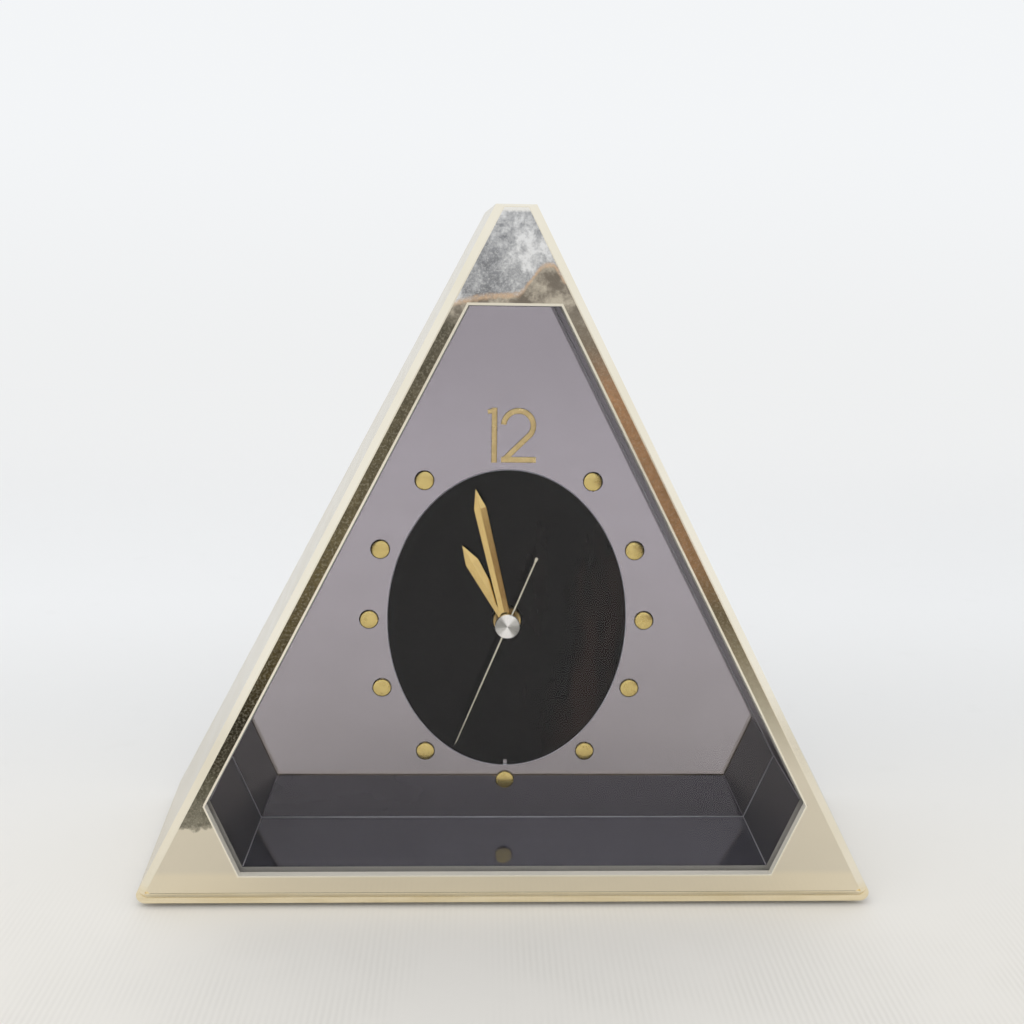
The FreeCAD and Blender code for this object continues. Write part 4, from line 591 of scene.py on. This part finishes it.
def rounded_numerals():
    """The applied twelve in low arched strokes. The one is a flag and a stem. The two is an arc that
    leaves into a slant down to a foot."""
    low, high = 121.8 * MM, 137.4 * MM
    stroke, rise, bow_radius = 1.62 * MM, 0.8 * MM, 5.0 * MM
    half = stroke / 2
    section = raised_stroke(stroke, rise * 0.42, rise * 0.16)
    flag_section = raised_stroke(stroke * 0.8, rise * 0.38, rise * 0.14)
    stem = -4.3 * MM
    flag = [(stem + 0.1 * MM, high - half), (stem - 0.6 * MM, high - half - 0.05 * MM),
            (-6.2 * MM, high - half - 0.35 * MM)]
    centre = np.array([2.5 * MM, high - bow_radius])
    turn = np.radians(np.linspace(176.0, -36.0, 40))
    bow = centre + (bow_radius - half) * np.stack([np.cos(turn), np.sin(turn)], axis=1)
    toe = np.array([-1.5 * MM, low + half])
    slant = bow[-1] + (toe - bow[-1]) * np.linspace(0.0, 1.0, 8)[1:, None]
    two = np.concatenate([bow, slant])

    def laid(places):
        places = np.array(places)
        return np.stack([places[:, 0], np.full(len(places), DIAL_FRONT), places[:, 1]], axis=1)

    # The strokes' walls get painted shade: dark edges where their normals turn away from the front.
    gilt = applied_gilt("numeral_gilt", (0.74, 0.57, 0.28), (0.66, 0.50, 0.24), 0.26, 0.85)
    strokes = [carried(laid([(stem, low), (stem, high)]), section), carried(laid(flag), flag_section)]
    one = piece("numeral_one_arched", strokes, "case", gilt, smooth=False)
    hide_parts("numeral_one")
    foot = [(toe[0] - half, low + half), (7.55 * MM, low + half)]
    strokes = [carried(laid(two), section), carried(laid(foot), section)]
    two_strokes = piece("numeral_two_arched", strokes, "case", gilt, smooth=False)
    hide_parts("numeral_two")


def flat_pane():
    """The pane: two flat faces and a straight edge round the window's outline. Its back stands a hair
    off the tub's flange, so that the flange is seen through it."""
    low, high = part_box("window_glass")
    edge = window_edge(WINDOW[3][1] - high.z + 0.04 * MM)
    middle = edge.mean(axis=0)
    front, back = low.y, high.y - 0.06 * MM
    grid = np.array([[(middle[0], front, middle[1]), (x, front, z), (x, back, z),
                      (middle[0], back, middle[1])] for x, z in edge])
    pane = piece("window_pane", [grid], "case", clear_pane(), round_u=True, smooth=False)
    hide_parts("window_glass")


def oval_rim():
    """A fine bright cut edge round the oval: a half-round bead carried along the oval's ellipse, which
    passes straight under the notch at six."""
    notch = 0.55 * MM
    turn = np.linspace(0.0, 2.0 * math.pi, 160, endpoint=False)
    middle = (OVAL_LOW.z + OVAL_HIGH.z) / 2
    path = np.stack([OVAL_HIGH.x * np.cos(turn), np.full(160, DIAL_FRONT),
                     middle + (OVAL_HIGH.z - OVAL_LOW.z) / 2 * np.sin(turn)], axis=1)
    path = path[(np.abs(path[:, 0]) >= notch) | (path[:, 2] >= middle)]
    bead = carried(path, half_round(0.30 * MM, 0.44 * MM, 7), closed=True)
    rim = piece("oval_cut_edge", [bead], "case",
                moulded("oval_edge_silver", (0.66, 0.64, 0.70), (0.56, 0.54, 0.60), 0.3))


def tub_beads():
    """The small round fillets in the tub's inner corners: one runs round the dial, and four run back to
    it from the tub's lip."""
    radius, lip = 0.15 * MM, -28.8 * MM
    turn = np.linspace(0.0, 2.0 * math.pi, 8, endpoint=False)
    circle = np.stack([radius * np.cos(turn), radius * np.sin(turn)], axis=1)
    inner = window_edge(0.52 * MM)
    path = np.stack([inner[:, 0], np.full(6, DIAL_FRONT - 0.1 * MM), inner[:, 1]], axis=1)
    long_way = np.concatenate([a + (b - a) * np.linspace(0.0, 1.0, 12, endpoint=False)[:, None]
                               for a, b in zip(path, np.roll(path, -1, axis=0))])
    grids = [carried(long_way, circle, closed=True)]
    depth = np.linspace(lip, DIAL_FRONT, 9)
    for x, z in window_edge(0.5 * MM)[[0, 1, 2, 5]]:
        ring = np.stack([x + radius * np.cos(turn), np.zeros(8), z + radius * np.sin(turn)], axis=1)
        tube = ring[:, None, :] + np.array([0.0, 1.0, 0.0]) * depth[None, :, None]
        tube = np.concatenate([tube, tube[:1]])
        middle = tube[:-1].mean(axis=0)
        grids.append(np.concatenate([np.broadcast_to(middle[None, :1], tube[:, :1].shape), tube,
                                     np.broadcast_to(middle[None, -1:], tube[:, -1:].shape)], axis=1))
    # The fillets are a pale grey, far lighter than the charcoal tub: painted highlight lines along the
    # inner corners.
    beads = piece("tub_corner_fillets", grids, "case",
                  moulded("tub_fillet_painted_highlight", (0.42, 0.41, 0.44), (0.52, 0.51, 0.54), 0.3))


def second_needle():
    """The second hand: an arched needle that thins to its tip, with a short flared block on its tail
    and a boss behind. Width runs in straight steps along the length."""
    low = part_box("second_hand")[0]
    aim = np.array([low.x, low.z - HUB_Z])
    aim /= np.linalg.norm(aim)
    stops = np.array([-22.0, -21.9, -20.7, -20.6, -3.0, 0.0, 20.0, 40.0]) * MM
    widths = np.array([1.15, 1.15, 0.95, 0.62, 0.66, 0.72, 0.60, 0.42]) * MM
    along = np.linspace(stops[0], stops[-1], 120)
    width = np.interp(along, stops, widths)
    turn = np.linspace(0.0, math.pi, 7)
    across = np.cos(turn)[None, :] * width[:, None] / 2
    rise = 0.28 * MM
    out = np.sin(turn)[None, :] ** 0.7 * rise * np.ones((len(along), 1))
    side = np.array([-aim[1], aim[0]])
    back = -6.47 * MM
    grid = np.stack([along[:, None] * aim[0] + across * side[0], back - out,
                     HUB_Z + along[:, None] * aim[1] + across * side[1]], axis=-1)
    grid = np.concatenate([grid, grid[:, :1]], axis=1)
    middle = grid.mean(axis=1, keepdims=True)
    grid = np.concatenate([np.broadcast_to(middle[:1], grid[:1].shape), grid,
                           np.broadcast_to(middle[-1:], grid[-1:].shape)])
    silver = brushed("second_silvered", (0.74, 0.70, 0.56), (0.64, 0.61, 0.49), 0.22,
                     (900.0, 900.0, 900.0))
    boss = turned([(0.0, -6.06 * MM), (1.5 * MM, -6.06 * MM), (1.6 * MM, -6.14 * MM),
                   (1.6 * MM, -6.5 * MM), (0.0, -6.5 * MM)], (0.0, 0.0, HUB_Z), 32)
    needle = piece("second_needle", [grid], "seconds", silver)
    collar = piece("second_boss", [boss], "seconds", silver, round_u=True)
    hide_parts("second_hand")


def turned_cap():
    """The second hand's cap: a disc with a rounded rim, faced so that it falls by a little to its edge,
    as the square of the radius."""
    radius, back, front = 3.62 * MM, -6.75 * MM, -7.85 * MM
    corner, chamfer, fall = 0.22 * MM, 0.1 * MM, 0.06 * MM
    heel = [(0.0, back), (radius - chamfer, back), (radius, back - chamfer)]
    rim = [(radius - corner + corner * math.cos(t), front + fall + corner - corner * math.sin(t))
           for t in np.linspace(0.0, math.pi / 2, 7)]
    face = [(radius * share, front + fall * share ** 2) for share in np.linspace(0.9, 0.0, 12)]
    disc = turned(heel + rim + face, (0.0, 0.0, HUB_Z), 64)
    cap = piece("second_cap_turned", [disc], "seconds", silver_with_painted_highlight(), round_u=True)
    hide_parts("second_cap")


def cross_screws():
    """The back cover's screws: rings of thread on a tapered shank, and a pan head whose face sinks in a
    cross, as a depth worked out from how near a point is to either bar of the cross."""
    low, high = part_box("back_cover_screws")
    head_back, head, places = high.y, 1.7 * MM, ((-97.0, 8.3), (97.0, 8.3), (0.0, 181.3))
    threads = np.linspace(low.y + 0.5 * MM, head_back - head - 0.05 * MM, 29)
    shank = [(0.0, low.y), (0.5 * MM, low.y)]
    shank += [(1.25 * MM + (0.22 * MM if step % 4 == 1 else 0.0), y)
              for step, y in enumerate(threads)]
    shank += [(2.5 * MM, head_back - head), (2.68 * MM, head_back - head + 0.15 * MM),
              (2.68 * MM, head_back - 0.5 * MM)]
    share = np.linspace(1.0, 0.0, 26)
    radius = 2.6 * MM * share
    turn = np.linspace(0.0, 2.0 * math.pi, 72, endpoint=False)[:, None]
    first, second = radius * np.cos(turn), radius * np.sin(turn)
    bar = np.minimum(np.abs(first), np.abs(second))
    other = np.maximum(np.abs(first), np.abs(second))
    sunk = (np.clip((0.42 * MM - bar) / (0.14 * MM), 0.0, 1.0)
            * np.clip((1.55 * MM - other) / (0.2 * MM), 0.0, 1.0))
    crown = head_back - 0.05 * MM - 0.35 * MM * share ** 2
    face = np.stack([first, crown - 0.75 * MM * sunk, second], axis=-1)
    grids = []
    for x, z in places:
        place = np.array([x * MM, 0.0, z * MM])
        grids.append(np.concatenate([turned(shank, place, 72), face + place], axis=1))
    screws = piece("back_cover_screws_crossed", grids, "case",
                   plated("screw_zinc", (0.60, 0.60, 0.59), (0.50, 0.50, 0.49), 0.28), round_u=True)
    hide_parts("back_cover_screws")


def moulded_feet():
    """Four rubber feet: low discs with a rounded lower rim and a shallow dished sole."""
    low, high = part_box("rubber_feet")
    radius, rim = 5.0 * MM, 0.45 * MM
    turn = np.linspace(0.0, math.pi / 2, 6)
    profile = [(0.0, high.z), (radius, high.z)]
    profile += [(radius - rim + rim * math.cos(t), low.z + rim - rim * math.sin(t))
                for t in turn]
    profile += [(3.9 * MM, low.z), (3.5 * MM, low.z + 0.25 * MM), (0.0, low.z + 0.3 * MM)]
    places = [(x * MM, y * MM, 0.0) for x in (-90.0, 90.0) for y in (-21.35, 22.65)]
    rubber = moulded("foot_rubber", (0.045, 0.044, 0.042), (0.06, 0.058, 0.055), 0.7)
    feet = piece("rubber_feet_moulded", [turned(profile, place, 40, "Z") for place in places],
                 "case", rubber, round_u=True)
    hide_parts("rubber_feet")


def dress_solids():
    """Every solid of the frame gets its finish."""
    bezel_plating().wear("front_bezel")
    shell_plating().wear("case_shell")
    face_patina_and_painted_reflection().wear("face_plate")
    glossy_tub().wear("dial_tub")
    mirror_dial().wear("dial_plate")
    lacquer_oval().wear("dial_oval")
    applied_gilt("hand_gilt", (0.80, 0.585, 0.235), (0.76, 0.55, 0.22), 0.13).wear(
        "hour_hand", "minute_hand")
    moulded("cover_black", (0.017, 0.017, 0.018), (0.027, 0.027, 0.028), 0.42, 900.0, 0.00004).wear(
        "back_cover", "access_door")
    plated("bezel_screw_zinc", (0.55, 0.55, 0.54), (0.48, 0.48, 0.47), 0.28).wear("bezel_screws")
    moulded("movement_black", (0.018, 0.018, 0.019), (0.026, 0.026, 0.027), 0.4).wear(
        "movement_base")
    moulded("movement_grey", (0.10, 0.10, 0.105), (0.13, 0.13, 0.135), 0.4).wear("movement_cover")
    brushed("turned_brass", (0.70, 0.52, 0.24), (0.60, 0.43, 0.18)).wear("centre_bush")
    moulded("wheel_acetal", (0.62, 0.61, 0.57), (0.55, 0.54, 0.50), 0.42).wear(
        "cannon_pinion", "minute_wheel", "hour_wheel", "second_wheel", "fifth_wheel", "third_wheel",
        "centre_wheel")
    moulded("knob_red", (0.36, 0.028, 0.02), (0.30, 0.022, 0.016), 0.38).wear("setting_knob")
    moulded("magnet_grey", (0.06, 0.06, 0.065), (0.09, 0.09, 0.095), 0.5).wear("rotor")
    brushed("stator_steel", (0.44, 0.43, 0.42), (0.34, 0.33, 0.32)).wear("stator", "coil_core")
    moulded("bobbin_nylon", (0.55, 0.53, 0.46), (0.48, 0.46, 0.40)).wear("coil_bobbin")
    brushed("winding_copper", (0.62, 0.25, 0.11), (0.42, 0.15, 0.06), 0.3, (9000.0, 300.0, 300.0)).wear(
        "coil_winding")
    moulded("board_green", (0.03, 0.14, 0.06), (0.02, 0.10, 0.045), 0.4).wear("circuit_board")
    moulded("chip_black", (0.012, 0.012, 0.012), (0.02, 0.02, 0.02), 0.3).wear("quartz_chip")
    plated("crystal_can", (0.62, 0.62, 0.61), (0.55, 0.55, 0.54), 0.2).wear("quartz_crystal")
    moulded("cell_sleeve", (0.03, 0.05, 0.16), (0.025, 0.04, 0.13), 0.28).wear("battery")
    plated("contact_nickel", (0.66, 0.63, 0.57), (0.58, 0.55, 0.5), 0.25).wear(
        "plus_contact", "minus_contact")


def stage_mesh(name, points, rows, material):
    """A sheet of quads over points laid out in rows, which isn't part of the clock."""
    index = np.arange(len(points)).reshape(rows, -1)
    quads = np.stack([index[:-1, :-1], index[1:, :-1], index[1:, 1:], index[:-1, 1:]],
                     axis=-1).reshape(-1, 4)
    mesh = bpy.data.meshes.new(name)
    mesh.from_pydata(points.tolist(), [], quads.tolist())
    mesh.polygons.foreach_set("use_smooth", np.ones(len(quads), dtype=bool))
    mesh.materials.append(material)
    sheet = bpy.data.objects.new(name, mesh)
    bpy.context.scene.collection.objects.link(sheet)
    return sheet


def sweep_floor():
    """A pale table that curves up into a backdrop: a straight run, a quarter circle and a wall carried
    across in x. Its cloth is ribbed, warmer towards the front, and whiter up the backdrop."""
    front, back, radius, height, half_width = -8.0, 0.62, 0.40, 1.6, 3.0
    flat = np.concatenate([np.linspace(front, -0.6, 12), np.linspace(-0.5, back, 24)])
    turn = np.linspace(0.0, math.pi / 2, 25)[1:]
    wall = np.linspace(radius, height, 8)[1:]
    along = np.concatenate([flat, back + radius * np.sin(turn), np.full(len(wall), back + radius)])
    up = np.concatenate([np.zeros(len(flat)), radius * (1.0 - np.cos(turn)), wall])
    across = np.linspace(-half_width, half_width, 25)
    rows = len(across)
    points = np.stack([np.repeat(across, len(along)), np.tile(along, rows), np.tile(up, rows)], axis=1)
    cloth = Finish("table_cloth", Roughness=0.7, Specular_IOR_Level=0.0)
    _, y, z = cloth.axes()
    ribs = cloth.node("ShaderNodeTexWave", bands_direction="X")
    for socket, value in (("Vector", cloth.places), ("Scale", 190.0), ("Distortion", 0.8),
                          ("Detail", 2.0), ("Detail Scale", 1.5)):
        cloth.set(ribs, socket, value)
    patchy = cloth.ramp(cloth.noise(18.0, 3.0), 0.35, 0.65)
    woven = cloth.times(ribs.outputs["Fac"], cloth.times(cloth.ramp(y, 0.0, -0.08), patchy))
    tone = cloth.mix(cloth.ramp(y, -0.10, 0.12), (0.815, 0.79, 0.745), (0.80, 0.80, 0.795))
    tone = cloth.mix(cloth.ramp(y, 0.06, 0.26), tone, (0.88, 0.885, 0.89))
    tone = cloth.mix(cloth.times(woven, 0.2), tone, (0.52, 0.50, 0.46))
    tone = cloth.mix(cloth.ramp(cloth.noise(60.0, 4.0), 0.6, 0.8, 0.0, 0.06), tone, (0.6, 0.6, 0.58))
    cloth.tint(tone)
    cloth.bump(woven, 0.00003, 0.3)

    # Far back, the eye and its mirror images see an even white that lights nothing.
    path = cloth.node("ShaderNodeLightPath")
    mirrored = cloth.maths("MAXIMUM", path.outputs["Is Glossy Ray"],
                           path.outputs["Is Transmission Ray"])
    seen = cloth.maths("MAXIMUM", path.outputs["Is Camera Ray"], mirrored)
    white = cloth.node("ShaderNodeEmission")
    sky = cloth.mix(cloth.ramp(z, 0.0, 0.35), (0.86, 0.868, 0.872), (0.90, 0.915, 0.93))
    cloth.set(white, "Color", sky)
    choose = cloth.node("ShaderNodeMixShader")
    cloth.set(choose, "Fac", cloth.times(seen, cloth.ramp(y, 0.20, 0.80)))
    cloth.tree.links.new(cloth.shader.outputs[0], choose.inputs[1])
    cloth.tree.links.new(white.outputs[0], choose.inputs[2])
    cloth.tree.links.new(choose.outputs[0], cloth.output.inputs["Surface"])
    stage_mesh("table", points, rows, cloth.material)


def brown_flag():
    """A dark board lying to the right in front, which only polished parts mirror."""
    height = 0.002
    points = np.array([(x, y, height) for x in (0.135, 0.9) for y in (-0.9, -0.27)])
    board = Finish("brown_board", Roughness=0.6)
    board.tint(board.mix(board.noise(9.0), (0.17, 0.10, 0.055), (0.24, 0.145, 0.08)))
    flag = stage_mesh("brown_board", points, 2, board.material)
    flag.visible_camera = flag.visible_diffuse = flag.visible_shadow = False


def light_room():
    """An even white room with one soft lamp overhead, a little to the left and in front."""
    world = bpy.data.worlds.new("studio")
    bpy.context.scene.world = world
    world.use_nodes = True
    tree = world.node_tree
    sky = tree.nodes["Background"]
    sky.inputs["Color"].default_value = (0.98, 0.99, 1.0, 1.0)
    sky.inputs["Strength"].default_value = 0.92
    lamp = bpy.data.lights.new("overhead_softbox", "AREA")
    lamp.shape = "RECTANGLE"
    lamp.size, lamp.size_y = 0.9, 0.6
    lamp.energy = 2.2
    box = bpy.data.objects.new("overhead_softbox", lamp)
    box.location = (-0.25, -0.35, 1.0)
    aim = Vector((0.0, 0.0, 0.08)) - box.location
    box.rotation_euler = aim.to_track_quat("-Z", "Y").to_euler()
    bpy.context.scene.collection.objects.link(box)


aim_camera()
sweep_floor()
brown_flag()
light_room()
dress_solids()
flat_pane()
domed_studs()
rounded_numerals()
oval_rim()
tub_beads()
second_needle()
turned_cap()
cross_screws()
moulded_feet()

bpy.context.scene.view_settings.view_transform = "Standard"
